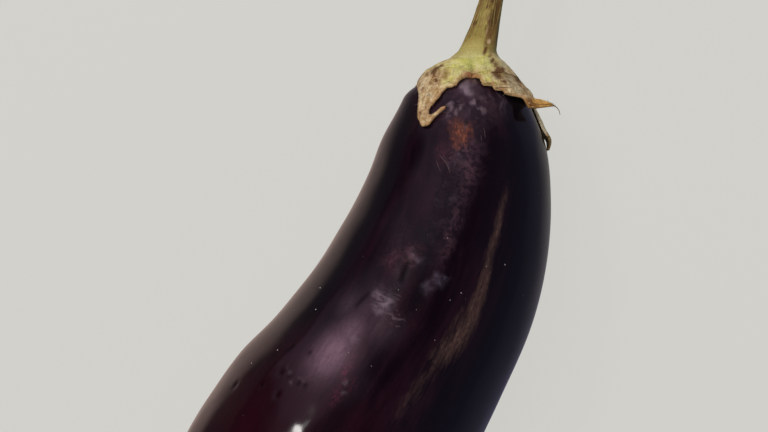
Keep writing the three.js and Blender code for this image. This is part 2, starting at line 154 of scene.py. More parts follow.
def curve_through(pairs):
    """A smooth curve through (place, value) pairs, straight at both ends."""
    places, values = (np.array(column, float) for column in zip(*pairs))
    spans = np.diff(places)
    slopes = np.diff(values) / spans
    inner = (slopes[:-1] * spans[1:] + slopes[1:] * spans[:-1]) / (spans[:-1] + spans[1:])
    tangents = np.concatenate([slopes[:1], inner, slopes[-1:]])

    def curve(place):
        place = np.asarray(place, float)
        i = np.clip(np.searchsorted(places, place) - 1, 0, len(spans) - 1)
        u = np.clip((place - places[i]) / spans[i], 0, 1)
        start_part = (1 + 2 * u) * (1 - u) ** 2 * values[i] + u * (1 - u) ** 2 * spans[i] * tangents[i]
        end_part = u ** 2 * (3 - 2 * u) * values[i + 1] + u ** 2 * (u - 1) * spans[i] * tangents[i + 1]
        return start_part + end_part

    return curve


body_radius = curve_through(FRUIT_RADII)
centre_height = curve_through(CENTRE_HEIGHTS)
crown_thickness = curve_through(CROWN_THICKNESS)
stem_sideways = curve_through(STEM_SIDEWAYS)
stem_upwards = curve_through(STEM_UPWARDS)
stem_radius = curve_through(STEM_RADII)


def end_rounding(along):
    """The share of the body's radius that the two rounded ends leave."""
    neck = np.maximum(0, 1 - along / NECK_ROUNDING)
    blossom = np.clip((along - FRUIT_LENGTH) / BLOSSOM_ROUNDING + 1, 0, 1)
    return (1 - neck ** NECK_BLUNTNESS) ** (1 / NECK_BLUNTNESS) * np.sqrt(1 - blossom ** 2)


SLOPE_STEP = 0.05  # over which slopes are taken, in millimetres along and in radians round the fruit


def centre_direction(along):
    """The direction of the centre line, away from the stem."""
    along = np.asarray(along, float)
    turned = FIRST_HEADING + sum(by * rise(start, end, along) for start, end, by in TURNS)
    heading = np.radians(turned)
    climb = (centre_height(along + SLOPE_STEP) - centre_height(along - SLOPE_STEP)) / (2 * SLOPE_STEP)
    level = np.sqrt(1 - climb ** 2)
    return unit(np.stack([-np.sin(heading) * level, -np.cos(heading) * level, climb], -1))


WALK_STEP = 0.1
walk_places = np.arange(0, FRUIT_LENGTH + WALK_STEP / 2, WALK_STEP)
walk_strides = centre_direction(walk_places[:-1] + WALK_STEP / 2)[:, :2] * WALK_STEP
walk_points = np.vstack([[0, 0], np.cumsum(walk_strides, axis=0)])


def centre_point(along):
    x, y = (np.interp(along, walk_places, walk_points[:, axis]) for axis in (0, 1))
    return np.stack([x, y, centre_height(along)], -1)


def cross_directions(along):
    """Forward along the centre line, level to the side (+X), and up, square to it."""
    forward = centre_direction(along)
    side = -unit(np.cross(forward, (0, 0, 1)))
    top = -unit(np.cross(side, forward))
    return forward, side, top


def swell(along, angle):
    return hump(*SWELL_RANGE, along) * sum(
        height * np.cos(count * angle + turn) for count, height, turn in SWELLS)


def skin_point(along, angle):
    """A point on the fruit's skin. The angle is in radians here."""
    along, angle = np.broadcast_arrays(np.asarray(along, float), np.asarray(angle, float))
    forward, side, top = cross_directions(along)
    rounding = end_rounding(along)
    full_radius = body_radius(along) + swell(along, angle)
    radius = full_radius * rounding
    clearance = (along - ROCKER_LOWEST) ** 2 / (2 * ROCKER_RADIUS) - ROCKER_SINK
    round_below = HEIGHT_TO_WIDTH * full_radius
    belly = hump(*BELLY, along)
    underside = (round_below + (centre_height(along) - clearance - round_below) * belly) * rounding
    height = np.where(np.cos(angle) > 0, HEIGHT_TO_WIDTH * radius, underside)
    in_scar = np.minimum(1, radius / BLOSSOM_SCAR_RADIUS)
    sunk = np.where(along > FRUIT_LENGTH / 2, BLOSSOM_SCAR_DEPTH * (1 - in_scar ** 2) ** 2, 0)
    point = centre_point(along) + side * (radius * np.sin(angle))[..., None]
    point = point + top * (height * np.cos(angle))[..., None] - forward * sunk[..., None]
    point[..., 2] = np.maximum(point[..., 2], 0)
    return point


# Distances over the skin from the fruit's pole, in steps that are fine at the pole.
POLE_REACH = 70
POLE_STEPS = 800
pole_places = POLE_REACH * (np.arange(POLE_STEPS + 1) / POLE_STEPS) ** 2
pole_radii = body_radius(pole_places) * end_rounding(pole_places)
pole_distances = np.concatenate([[0], np.cumsum(np.hypot(np.diff(pole_places), np.diff(pole_radii)))])


def over_pole(degrees, distance):
    """A point on the skin by angle and distance from the pole, with the skin's outward normal."""
    degrees, distance = np.broadcast_arrays(np.asarray(degrees, float), np.asarray(distance, float))
    angle = np.radians(degrees)

    def at(places, angles):
        return skin_point(np.interp(places, pole_distances, pole_places), angles)

    outwards = at(distance + SLOPE_STEP, angle) - at(np.maximum(distance - SLOPE_STEP, 0), angle)
    around = at(distance, angle + SLOPE_STEP) - at(distance, angle - SLOPE_STEP)
    return at(distance, angle), unit(np.cross(outwards, around))


pole = skin_point(0, 0)
pole_forward, pole_side, pole_top = cross_directions(0)


def stem_centre(height):
    height = np.asarray(height, float)[..., None]
    return (pole - pole_forward * height + pole_side * stem_sideways(height)
            + pole_top * stem_upwards(height))


def stem_point(height, degrees, radius):
    height, degrees, radius = np.broadcast_arrays(*(np.asarray(v, float) for v in (height, degrees, radius)))
    angle = np.radians(degrees)
    return (stem_centre(height) + pole_side * (radius * np.sin(angle))[..., None]
            + pole_top * (radius * np.cos(angle))[..., None])


RANDOM_WAVES = 14
WAVE_SHARES = (0.7, 1.5)  # how their lengths vary about the wavelength asked for


def random_waves(seed, wavelength, *coordinates):
    """A smooth random field, mostly between -1 and 1, with features of about that wavelength."""
    generator = np.random.default_rng(seed)
    total = 0
    for _ in range(RANDOM_WAVES):
        direction = generator.normal(size=len(coordinates))
        direction /= np.linalg.norm(direction)
        length = wavelength * generator.uniform(*WAVE_SHARES)
        phase = generator.uniform(0, 2 * np.pi)
        travelled = sum(d * c for d, c in zip(direction, coordinates))
        total = total + np.sin(2 * np.pi * travelled / length + phase)
    return total / math.sqrt(RANDOM_WAVES)


# ---------------------------------------------------------------- meshes


def put_in_scene(name, data):
    made = bpy.data.objects.new(name, data)
    bpy.context.scene.collection.objects.link(made)
    return made


class Solid:
    """Collects grids of points and the faces between them, and makes them into one closed mesh."""

    def __init__(self):
        self.points = []
        self.fields = []
        self.faces = []
        self.flat = []
        self.count = 0

    def add(self, points, **fields):
        """Adds a grid of points and returns their numbers in the same shape."""
        shape = points.shape[:-1]
        size = int(np.prod(shape))
        self.points.append(points.reshape(-1, 3))
        self.fields.append((size, {name: np.broadcast_to(values, shape).reshape(-1)
                                   for name, values in fields.items()}))
        numbers = np.arange(self.count, self.count + size).reshape(shape)
        self.count += size
        return numbers

    def sheet(self, grid, closed=False):
        """Quads between the rows of a grid of point numbers, its rows closed to rings if asked."""
        if closed:
            grid = np.hstack([grid, grid[:, :1]])
        quads = np.stack([grid[:-1, :-1], grid[1:, :-1], grid[1:, 1:], grid[:-1, 1:]], -1)
        self.faces.extend(quads.reshape(-1, 4).tolist())
        self.flat.extend([False] * (len(self.faces) - len(self.flat)))

    def fan(self, ring, tip, flat=False):
        """Triangles from a ring to a point."""
        following = np.roll(ring, -1)
        self.faces.extend([[int(b), int(a), int(tip)] for a, b in zip(ring, following)])
        self.flat.extend([flat] * (len(self.faces) - len(self.flat)))

    def make(self, name, material, shift):
        mesh = bpy.data.meshes.new(name)
        points = np.vstack(self.points) * MM + shift
        mesh.from_pydata(points.tolist(), [], self.faces)
        mesh.polygons.foreach_set("use_smooth", [not flat for flat in self.flat])
        for field in sorted({field for _, fields in self.fields for field in fields}):
            values = np.concatenate([fields.get(field, np.zeros(size)) for size, fields in self.fields])
            attribute = mesh.attributes.new(field, "FLOAT", "POINT")
            attribute.data.foreach_set("value", values.astype(np.float32))
        mesh.materials.append(material)
        mesh.update()
        return put_in_scene(name, mesh)


def grid_normals(grid, closed=False):
    """Outward normals of a grid of points whose rows run outwards and whose columns run clockwise."""
    down = np.gradient(grid, axis=0)
    if closed:
        wrapped = np.concatenate([grid[:, -1:], grid, grid[:, :1]], axis=1)
        across = (wrapped[:, 2:] - wrapped[:, :-2]) / 2
    else:
        across = np.gradient(grid, axis=1)
    return unit(np.cross(down, across))


# ---------------------------------------------------------------- the skin's relief and markings


def skin_offsets(along, degrees, place):
    """Distances in millimetres over the skin from a place: lengthwise and round the fruit."""
    radius = body_radius(place[0]) * end_rounding(place[0])
    return along - place[0], np.radians(degrees - place[1]) * radius


def spot(along, degrees, place, length, width):
    """A soft oval spot, 1 in its middle."""
    lengthwise, sideways = skin_offsets(along, degrees, place)
    return np.exp(-((lengthwise / length) ** 2) - (sideways / width) ** 2)


def line_distance(along, degrees, line):
    """Distance over the skin from a line through places."""
    nearest = np.full(np.shape(along), np.inf)
    for first, second in zip(line, line[1:]):
        u, v = skin_offsets(along, degrees, first)
        end_u, end_v = skin_offsets(np.array(second[0], float), np.array(second[1], float), first)
        share = np.clip((u * end_u + v * end_v) / math.hypot(end_u, end_v) ** 2, 0, 1)
        nearest = np.minimum(nearest, np.hypot(u - share * end_u, v - share * end_v))
    return nearest


def stroke(along, degrees, line, width):
    """1 along a line through places, fading out to both sides."""
    return np.exp(-((line_distance(along, degrees, line) / width) ** 2))


def fold_taper(along, degrees, line):
    """Fades a fold out towards both of its ends."""
    lengthwise, _ = skin_offsets(along, degrees, line[len(line) // 2])
    reach = (line[-1][0] - line[0][0]) / 2 + 1
    return np.sqrt(np.clip(1 - (lengthwise / reach) ** 2, 0, 1))


# Low bumps in the skin just below the notch of the calyx, with painted highlights on their crests: distance,
# angle, size, paleness.
NECK_BUMPS = [(5.9, 0.6, 2.1, 1.0), (8.4, 1.2, 2.0, 1.1), (13.5, -13.0, 1.7, 0.9), (14.4, -4.5, 1.5, 0.7),
              (12.6, 4.8, 1.8, 0.95), (16.7, -8.0, 1.6, 0.65), (15.3, 11.2, 1.7, 0.6),
              (17.6, -15.0, 1.2, 0.45), (19.6, -12.0, 1.4, 0.35), (20.9, -1.5, 1.5, 0.45),
              (10.4, 13.8, 2.2, 0.35), (15.5, -15.8, 1.3, 0.4), (16.6, 1.8, 1.2, 0.25), (4.9, 6.8, 2.0, 0.55),
              (12.0, -9.0, 1.3, 0.3), (18.6, 6.5, 1.2, 0.25)]
FOLD_BY_RIDGE = [(74.5, -17.0), (78.4, -16.8), (82.5, -16.0)]
FOLD_IN_HAZE = [(92.0, -27.8), (95.3, -29), (98.8, -30)]
# A fold's darkness is the painted shade laid in its bottom.
FOLDS = [(FOLD_BY_RIDGE, 1.2, 1.0), (FOLD_IN_HAZE, 1.0, 0.75)]  # line, width, darkness
FOLD_LINE_WIDTH = 0.8
SCRATCH = [(33.0, -15.5), (35.0, -12.4), (37.7, -9.4), (40.7, -7.8)]
SCRATCH_WIDTH = 0.7
# Shallow hollows and, with a depth below 0, low swellings: place, length, width, depth.
HOLLOWS = [((88, -24), 7, 5, 0.30), ((96, -8), 6, 6, 0.25), ((77, -1), 7, 4, -0.2), ((33, -10), 9, 6, 0.25),
           ((24, -3), 6, 6, 0.2), ((60, -5), 16, 5, 0.3), ((132, -24), 6, 8, 0.2), ((146, -16), 7, 6, -0.25),
           ((118, -36), 12, 5, 0.15), ((141.2, -20.8), 3.3, 3.5, -0.11), ((137.8, -15.8), 1.8, 1.6, -0.05)]
PITS = [(129.2, -36), (129.7, -30), (129.8, -40.5), (129, -27), (119.7, -35.5), (136.4, -44.8),
        (136.4, -35), (141, -60)]
# Heights and depths in the skin, in millimetres.
UNDULATION = 0.10
RIPPLE = 0.035
LUMPS_BELOW_HAZE = 0.030
BUMP_HEIGHT = 0.30
FOLD_DEPTH = 0.12
SCRATCH_DEPTH = 0.10
PIT_DEPTH = 0.22


def skin_relief(along, degrees):
    """Height of the skin over the fruit's plain form, in millimetres."""
    angle = np.radians(degrees)
    x, y = np.cos(angle) * body_radius(along), np.sin(angle) * body_radius(along)
    ends = hump(12, 30, 200, 218, along)
    relief = UNDULATION * ends * random_waves(5, 26, x, y, along * 0.45)
    relief = relief + RIPPLE * ends * random_waves(8, 9, x, y, along * 0.4)
    below_haze = hump(126, 136, 150, 165, along)
    relief = relief + LUMPS_BELOW_HAZE * below_haze * random_waves(9, 7, x, y, along * 0.8)
    for place_along, place_degrees, size, paleness in NECK_BUMPS:
        bump = spot(along, degrees, (place_along, place_degrees), size, size * 0.9)
        relief = relief + BUMP_HEIGHT * (0.4 + 0.6 * paleness) * bump
    for place, length, width, depth in HOLLOWS:
        relief = relief - depth * spot(along, degrees, place, length, width)
    for line, width, _ in FOLDS:
        relief = relief - FOLD_DEPTH * stroke(along, degrees, line, width) * fold_taper(along, degrees, line)
    relief = relief - SCRATCH_DEPTH * stroke(along, degrees, SCRATCH, SCRATCH_WIDTH)
    for pit in PITS:
        relief = relief - PIT_DEPTH * spot(along, degrees, pit, 1.3, 0.9)
    return relief


# The brown russet stripe: its line, its half width along the fruit, and a fainter stripe beside it.
RUSSET = [(35, 28.5), (41.4, 26.8), (48.2, 24.5), (56, 24), (62.8, 22.8), (73, 24), (84, 24.5), (90, 23.3),
          (96.4, 20.5), (104, 18), (116, 15), (130, 12.5)]
RUSSET_WIDTHS = curve_through([(34, 1.0), (46, 1.6), (60, 2.0), (76, 2.3), (86, 3.4), (96, 4.4), (116, 3.2),
                               (130, 1.6)])
RUSSET_SIDE = [(82, 18.5), (89, 17), (96, 15.5), (101, 14)]
# Painted highlight: a pale mauve haze laid into the skin's colour on the ridge, where a soft reflection of
# the light falls: place, length, width, strength.
PAINTED_HAZE = [((116.2, -25.9), 8.5, 6.1, 0.84), ((108, -25.0), 7, 4.6, 0.52), ((100, -25.0), 8, 4.0, 0.16),
         ((101, -15), 7, 6, 0.14), ((100, -33.5), 6, 3.6, 0.16)]
# Soft oval marks of the skin, by name: place, length, width and strength, sizes in millimetres.
SKIN_MARKS = {
    "scar": [
        ((20.5, -9.0), 2.6, 2.2, 0.75), ((22.2, -5.0), 2.8, 2.2, 1.0), ((24.6, -8.0), 2.8, 1.5, 1.0),
        ((25.0, -3.5), 2.8, 2.2, 1.0), ((21.0, 0.5), 2.6, 1.8, 0.7), ((27.2, -6.5), 2.4, 1.4, 0.9),
        ((28.2, -1.5), 2.0, 1.0, 0.45)],
    "wrinkled": [
        ((92.5, -20), 5, 5, 1.0), ((96.0, -10), 3.0, 5.5, 1.0), ((89, -15.5), 3, 2.5, 0.7),
        ((72.8, -13.5), 2.0, 2.8, 0.8), ((31, -6), 4, 5, 0.6)],
    # Pale lilac patches: the skin's own paler patches and lines, and painted highlights on the rims of the
    # pits and over the wrinkled patch.
    "pale": [
        ((92.8, -17.5), 2.4, 2.0, 1.0), ((91.3, -22), 2.2, 2.4, 0.7), ((95.6, -18.5), 1.5, 2.6, 0.6),
        ((7.3, -0.5), 2.0, 1.9, 1.0), ((12.9, 5.2), 1.1, 1.2, 0.7), ((72.8, -13), 1.2, 2.4, 0.35),
        ((108.5, -22), 1.2, 2.0, 0.4), ((47, -4), 1.6, 1.2, 0.16), ((130.6, -33.6), 0.7, 1.0, 0.30),
        ((127.7, -37.6), 0.6, 0.9, 0.35), ((128.2, -30.0), 0.6, 0.9, 0.25), ((121.2, -13.2), 0.8, 0.7, 0.5),
        ((124.4, -11.0), 0.7, 0.6, 0.4), ((12.0, 29.0), 4.0, 0.45, 0.35), ((13.0, 32.5), 3.0, 0.40, 0.25),
        ((10.8, 21.5), 2.0, 0.8, 0.25)],
    # Painted highlight: a smear of bluish reflected light.
    "blue": [
        ((75.3, 3.4), 1.0, 1.6, 0.8), ((76.2, -0.6), 1.8, 1.4, 0.9), ((77.6, 1.8), 1.6, 1.4, 0.7),
        ((79.8, -3.2), 2.2, 1.3, 0.7), ((81.5, -0.6), 2.0, 1.2, 0.5)],
    "red": [
        ((119, -15), 2.4, 1.6, 1.0), ((116.3, -17.5), 2, 1.5, 0.8), ((127.0, -12.8), 3.8, 1.7, 0.75),
        ((121.5, -11), 2.5, 2, 0.4), ((77, -24), 4, 3.0, 0.32), ((73, -18), 4, 2.8, 0.36),
        ((70, -15), 3, 2.2, 0.3), ((31, -16), 4, 2.2, 0.5)],
    # The mottled trail of dull pink that runs down from the scar.
    "trail": [
        ((30, -0.5), 5, 4.4, 0.8), ((36, 1.6), 5.5, 3.8, 0.7), ((43.5, 1.0), 5, 2.8, 0.36),
        ((49, -0.6), 5, 2.4, 0.34), ((55, -2.0), 6, 2.4, 0.5), ((61, -1.4), 6, 2.3, 0.55),
        ((66.5, -1.0), 4, 2.0, 0.45), ((33, -9), 4, 3.0, 0.5), ((76, -24), 4, 3.5, 0.5),
        ((73, -17), 3.5, 2.6, 0.7), ((70, -26), 5, 3, 0.12)],
    "cheek": [((150, -42), 22, 26, 1.0), ((136, -20), 9, 12, 0.5), ((133, 0), 12, 14, 0.4)],
    "violet": [((8, 0), 7, 8, 0.9), ((16, -6), 6, 9, 0.5), ((12.5, 18), 6, 5, 0.8)],
    # Lilac-grey mottles: partly the skin's own mottling, partly a painted sheen where the ridge's reflection
    # breaks up.
    "mottled": [
        ((31, -4), 8, 6, 0.7), ((45, -13), 6, 4.0, 0.42), ((52, -11), 7, 3.6, 0.38), ((16, -2), 7, 10, 0.5),
        ((58, -9.5), 5, 3, 0.4), ((64, -6), 7, 3, 0.35), ((66, -26), 6, 3, 0.15), ((90, -21), 5, 5, 0.6),
        ((96, -14), 5, 6, 0.5)],
    "green_black": [
        ((66, -13), 8, 3.0, 1.0), ((73, -10.5), 9, 2.2, 0.9), ((85, -4.5), 6, 2.4, 0.7),
        ((37.5, -18), 4, 1.2, 0.8), ((52, -5), 6, 1.3, 0.8), ((57, -4.6), 5, 1.2, 0.7),
        ((47.5, -5.5), 3.2, 1.7, 0.7)],
    "pebbled": [
        ((place_along, place_degrees), size * 0.85, size * 0.75, paleness)
        for place_along, place_degrees, size, paleness in NECK_BUMPS],
}


def painted(along, degrees, places):
    """The strongest of several soft oval marks."""
    return np.maximum.reduce([strength * spot(along, degrees, place, length, width)
                              for place, length, width, strength in places])


def wandered(along, degrees):
    """The same places moved about a little, so that marks laid on them come out uneven."""
    angle, radius = np.radians(degrees), body_radius(along)
    solid_place = (np.cos(angle) * radius, np.sin(angle) * radius, along)
    lengthwise, sideways = (
        0.7 * random_waves(seed, 5.0, *solid_place) + 0.4 * random_waves(seed + 2, 2.4, *solid_place)
        for seed in (61, 62))
    return along + lengthwise, degrees + np.degrees(sideways / np.maximum(radius, 6))


def russet_stripe(along, degrees):
    """How strongly the russet shows: the stripe, its faint far end and the stripe beside it."""
    band = np.exp(-((line_distance(along, degrees, RUSSET) / RUSSET_WIDTHS(along)) ** 2))
    stripe = band * hump(30, 52, 92, 112, along)
    stripe = stripe * (0.68 + 0.32 * rise(62, 76, along)) * (1 - 0.2 * rise(78, 92, along))
    stripe = np.maximum(stripe, 0.38 * band * hump(90, 100, 116, 132, along))
    return np.maximum(stripe, 0.42 * stroke(along, degrees, RUSSET_SIDE, 1.8))


def painted_crease_shade(along, degrees):
    """Painted shade: the black bottoms of the folds and pits, where light hardly reaches."""
    folded = [stroke(along, degrees, line, FOLD_LINE_WIDTH) * fold_taper(along, degrees, line) * darkness
              for line, _, darkness in FOLDS]
    pitted = [0.8 * spot(along, degrees, pit, 1.0, 0.75) for pit in PITS]
    return np.maximum.reduce([*folded, *pitted])


def painted_side_shade(along, degrees):
    """Painted shade: the blue-black right side of the fruit and the left side of its neck, the sides turned
    from the light.
    """
    right = hump(22, 42, 100, 130, degrees) * hump(-10, 20, 130, 170, along)
    left = 0.8 * hump(-110, -88, -50, -34, degrees) * hump(8, 24, 105, 125, along)
    return np.maximum(right, left)


def skin_markings(along, degrees):
    """How strongly each marking shows at each place of the skin, from 0 to 1."""
    uneven = wandered(along, degrees)
    return {
        **{name: painted(*uneven, places) for name, places in SKIN_MARKS.items()},
        "bloom": painted(along, degrees, PAINTED_HAZE),
        "russet": russet_stripe(along, degrees),
        "folded": painted_crease_shade(along, degrees),
        "inky": painted_side_shade(along, degrees),
    }


def fruit_rings():
    """Places of the rings along the fruit, close together where its ends are rounded."""
    quarter = np.pi / 2
    body_end = FRUIT_LENGTH - BLOSSOM_ROUNDING
    neck = NECK_ROUNDING * (1 - np.cos(quarter * np.arange(1, NECK_RINGS + 1) / NECK_RINGS))
    body = NECK_ROUNDING + (body_end - NECK_ROUNDING) * np.arange(1, BODY_RINGS + 1) / BODY_RINGS
    blossom = body_end + BLOSSOM_ROUNDING * np.sin(quarter * np.arange(1, BLOSSOM_RINGS) / BLOSSOM_RINGS)
    return np.concatenate([neck, body, blossom])


def part_shift():
    """The step from the drawing's origin, under the pole, to the frame's, found from the fruit's box."""
    along = fruit_rings()[:, None]
    plain = skin_point(along, np.radians(np.arange(0, 360, 1.5))[None, :]) * MM
    low, high = (np.array(corner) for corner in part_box("fruit"))
    shift = (low + high - plain.min((0, 1)) - plain.max((0, 1))) / 2
    shift[2] = low[2] - plain[..., 2].min()
    return shift


PLAIN_BELOW = 2  # under this height the relief doesn't move the skin up or down, so that the fruit rests well


def make_fruit(material, shift):
    solid = Solid()
    along = fruit_rings()[:, None]
    even = 2 * np.pi * np.arange(FRUIT_SIDES) / FRUIT_SIDES
    angle = (even - TOP_CLOSENESS * np.sin(even))[None, :]
    along, angle = np.broadcast_arrays(along, angle)
    degrees = (np.degrees(angle) + 180) % 360 - 180
    plain = skin_point(along, angle)
    lifted = plain + grid_normals(plain, closed=True) * skin_relief(along, degrees)[..., None]
    lifted[..., 2] = np.where(plain[..., 2] < PLAIN_BELOW, plain[..., 2], lifted[..., 2])
    radius = body_radius(along) * np.sqrt(end_rounding(along))
    rings = solid.add(lifted, along=along, across=radius * np.sin(angle), above=radius * np.cos(angle),
                      **skin_markings(along, degrees))
    solid.sheet(rings, closed=True)
    tip = {"along": FRUIT_LENGTH, "across": 0, "above": 0}
    solid.fan(rings[0][::-1], solid.add(skin_point(0, 0)[None, :])[0])
    solid.fan(rings[-1], solid.add(skin_point(FRUIT_LENGTH, 0)[None, :], **tip)[0])
    return solid.make("ripe_fruit", material, shift)


# ---------------------------------------------------------------- the calyx

# Small blunt teeth along the lobes' margins. They reach in by a share of the lobe's width.
MARGIN_TEETH = {"every": 2.3, "depth": 0.75, "bluntness": 0.6, "level": 0.55, "reach": 0.18}
CALYX_VEINS = 3  # raised veins along each lobe
VEIN_HEIGHT = 0.16
CORK_HEIGHT = 0.10
FINE_CORK_HEIGHT = 0.05
CORK_BEGINS = (9, 18)  # distances over which the cork's unevenness sets in
CROWN_RIDGE = 0.18
SCALLOPS = 3  # waves of a lobe's width along its length
EDGE_WIDTH = 0.7  # of the tan margins
RIM_BULGE = 0.32  # of the rims, as a share of their thickness
FIRST_TEETH_SEED = 40


def eased_notch(degrees, distance):
    """Rounds the bottom of every notch: the distance over the skin that a place of the calyx then has."""
    eased = distance
    for notch_degrees, notch_distance in NOTCHES:
        beyond = np.maximum(distance - notch_distance, 0)
        near = np.exp(-(((degrees - notch_degrees) / NOTCH_REACH) ** 2))
        near = near * rise(notch_distance - 6, notch_distance, distance)
        eased = eased + near * (np.sqrt(beyond ** 2 + NOTCH_ROUND ** 2) - beyond - NOTCH_LIFT)
    return eased


def eased_between(start, start_tangent, end, end_tangent, share):
    """A smooth run of points from one point and direction to another."""
    u = share[:, None, None]
    return ((1 + 2 * u) * (1 - u) ** 2 * start + u * (1 - u) ** 2 * start_tangent
            + u ** 2 * (3 - 2 * u) * end + u ** 2 * (u - 1) * end_tangent)


FLARE_ROWS = 18  # rows of the crown that flare out of the stem
ROW_CROWDING = 1.4  # the power by which the crown's rows crowd towards the stem
SQUARE_FROM = 17  # distance from which the crown's thickness stands square to the skin


def crown_pair(index):
    """The inner and outer points of the crown over one lobe, and what they carry."""
    column = np.arange(LOBE_COLUMNS)[None, :] / LOBE_COLUMNS
    row = np.arange(CROWN_ROWS + 1)[:, None] / CROWN_ROWS
    first, second = NOTCHES[index], NOTCHES[index + 1]
    degrees = first[0] + (second[0] - first[0]) * column
    notch = first[1] + (second[1] - first[1]) * column
    distance = CROWN_RADIUS + (notch - CROWN_RADIUS) * row ** ROW_CROWDING
    degrees, distance = np.broadcast_arrays(degrees, distance)
    point, normal = over_pole(degrees, eased_notch(degrees, distance))
    inner = point + normal * GAP
    margin = np.abs(2 * column - 1)
    risen = rise(CROWN_RADIUS, notch, distance)
    valley = MARGIN_THINNING * margin ** 4 * risen
    blend = rise(CROWN_RADIUS, SQUARE_FROM, distance)[..., None]
    direction = unit(-pole_forward * (1 - blend) + normal * blend)
    outer = inner + direction * (crown_thickness(distance) * (1 - valley))[..., None]
    height = (-(outer - pole) @ pole_forward)[..., None]
    outer = outer + pole_side * stem_sideways(height) + pole_top * stem_upwards(height)
    start = stem_point(CROWN_TOP, degrees[0], CROWN_RADIUS)
    down_the_stem = start - stem_point(CROWN_TOP + 1, degrees[0], stem_radius(CROWN_TOP + 1))
    reach = np.linalg.norm(outer[FLARE_ROWS] - start, axis=-1, keepdims=True)
    run_out = (outer[FLARE_ROWS + 1] - outer[FLARE_ROWS - 1]) / 2 * FLARE_ROWS
    share = np.arange(FLARE_ROWS + 1) / FLARE_ROWS
    outer[:FLARE_ROWS + 1] = eased_between(start, unit(down_the_stem) * reach, outer[FLARE_ROWS], run_out,
                                           share)
    return inner, outer, degrees, distance, np.broadcast_to(column, distance.shape)


def lobe_curves(index):
    ribs = [(*NOTCHES[index], *NOTCHES[index + 1], 0), *LOBES[index]["ribs"]]
    return [curve_through([(number, rib[value]) for number, rib in enumerate(ribs)]) for value in range(5)]


def lobe_rows(index):
    """Inner points of a lobe, row by row, with their angles, distances and shares outwards and across."""
    lobe = LOBES[index]
    rib_count = len(lobe["ribs"])
    row = np.arange(rib_count * ROWS_PER_RIB + 1)[:, None] / (rib_count * ROWS_PER_RIB)
    left_angle, left_distance, right_angle, right_distance, stand_off = (
        curve(row * rib_count) for curve in lobe_curves(index))
    wave = lobe["scallop"] * np.sin(np.pi * row) * np.sin(2 * np.pi * SCALLOPS * row)
    column = np.arange(LOBE_COLUMNS + 1)[None, :] / LOBE_COLUMNS
    share = 0.5 + (column - 0.5) * (1 + wave)
    degrees = left_angle + (right_angle - left_angle) * share
    distance = left_distance + (right_distance - left_distance) * share
    point, normal = over_pole(degrees, eased_notch(degrees, distance))
    inner = point + normal * (GAP + stand_off)[..., None]
    mean_distance = (left_distance + right_distance) / 2
    row, column = np.broadcast_arrays(row, column)
    return inner, degrees, distance, row, column, mean_distance


def softened(normals):
    """The same directions, evened out along the rows and columns of a grid."""
    rows, columns, _ = normals.shape
    for _ in range(3):
        padded = np.pad(normals, ((3, 3), (3, 3), (0, 0)), mode="edge")
        normals = unit(sum(padded[i:i + rows, j:j + columns] for i in range(7) for j in range(7)))
    return normals


def toothed(inner, row, depth, seed):
    """Moves the margins of a lobe in and out as small blunt teeth of uneven size."""
    generator = np.random.default_rng(seed)
    normals = grid_normals(inner)
    middle = inner[:, LOBE_COLUMNS // 2]
    taper = (rise(0, 0.05, row) * (1 - rise(0.70, 0.90, row)))[:, 0]
    moved = inner.copy()
    for side in (0, LOBE_COLUMNS):
        edge = inner[:, side]
        outwards = unit(np.cross(np.gradient(edge, axis=0), normals[:, side]))
        outwards = outwards * np.sign(np.sum(outwards * (edge - middle), axis=-1, keepdims=True) + 1e-9)
        travelled = np.concatenate([[0], np.cumsum(np.linalg.norm(np.diff(edge, axis=0), axis=1))])
        start = generator.uniform(0, 6)
        phase = travelled / MARGIN_TEETH["every"] + 0.45 * np.sin(travelled / 2.7 + start)
        tooth = np.abs(np.sin(np.pi * phase)) ** MARGIN_TEETH["bluntness"] - MARGIN_TEETH["level"]
        size = 0.65 + 0.35 * np.sin(travelled / 1.9 + 2 * start)
        push = (tooth * size * MARGIN_TEETH["depth"] * depth * taper)[:, None] * outwards
        inwards = np.abs(np.arange(LOBE_COLUMNS + 1) - side) / LOBE_COLUMNS
        near = np.clip(1 - inwards / MARGIN_TEETH["reach"], 0, 1) ** 1.5
        moved = moved + push[:, None, :] * near[None, :, None]
    return moved


def cork_relief(points, share, column, distance):
    """Height of veins and corky unevenness on the calyx's outer face."""
    x, y, z = (points[..., axis] for axis in range(3))
    veins = np.cos(np.pi * (2 * column - 1) * CALYX_VEINS) * 0.5 + 0.5
    veins = veins ** 2 * hump(0.02, 0.2, 0.75, 1.0, share) * VEIN_HEIGHT
    cork = CORK_HEIGHT * random_waves(21, 4.5, x, y, z) + FINE_CORK_HEIGHT * random_waves(22, 1.9, x, y, z)
    return veins + cork * rise(*CORK_BEGINS, distance)


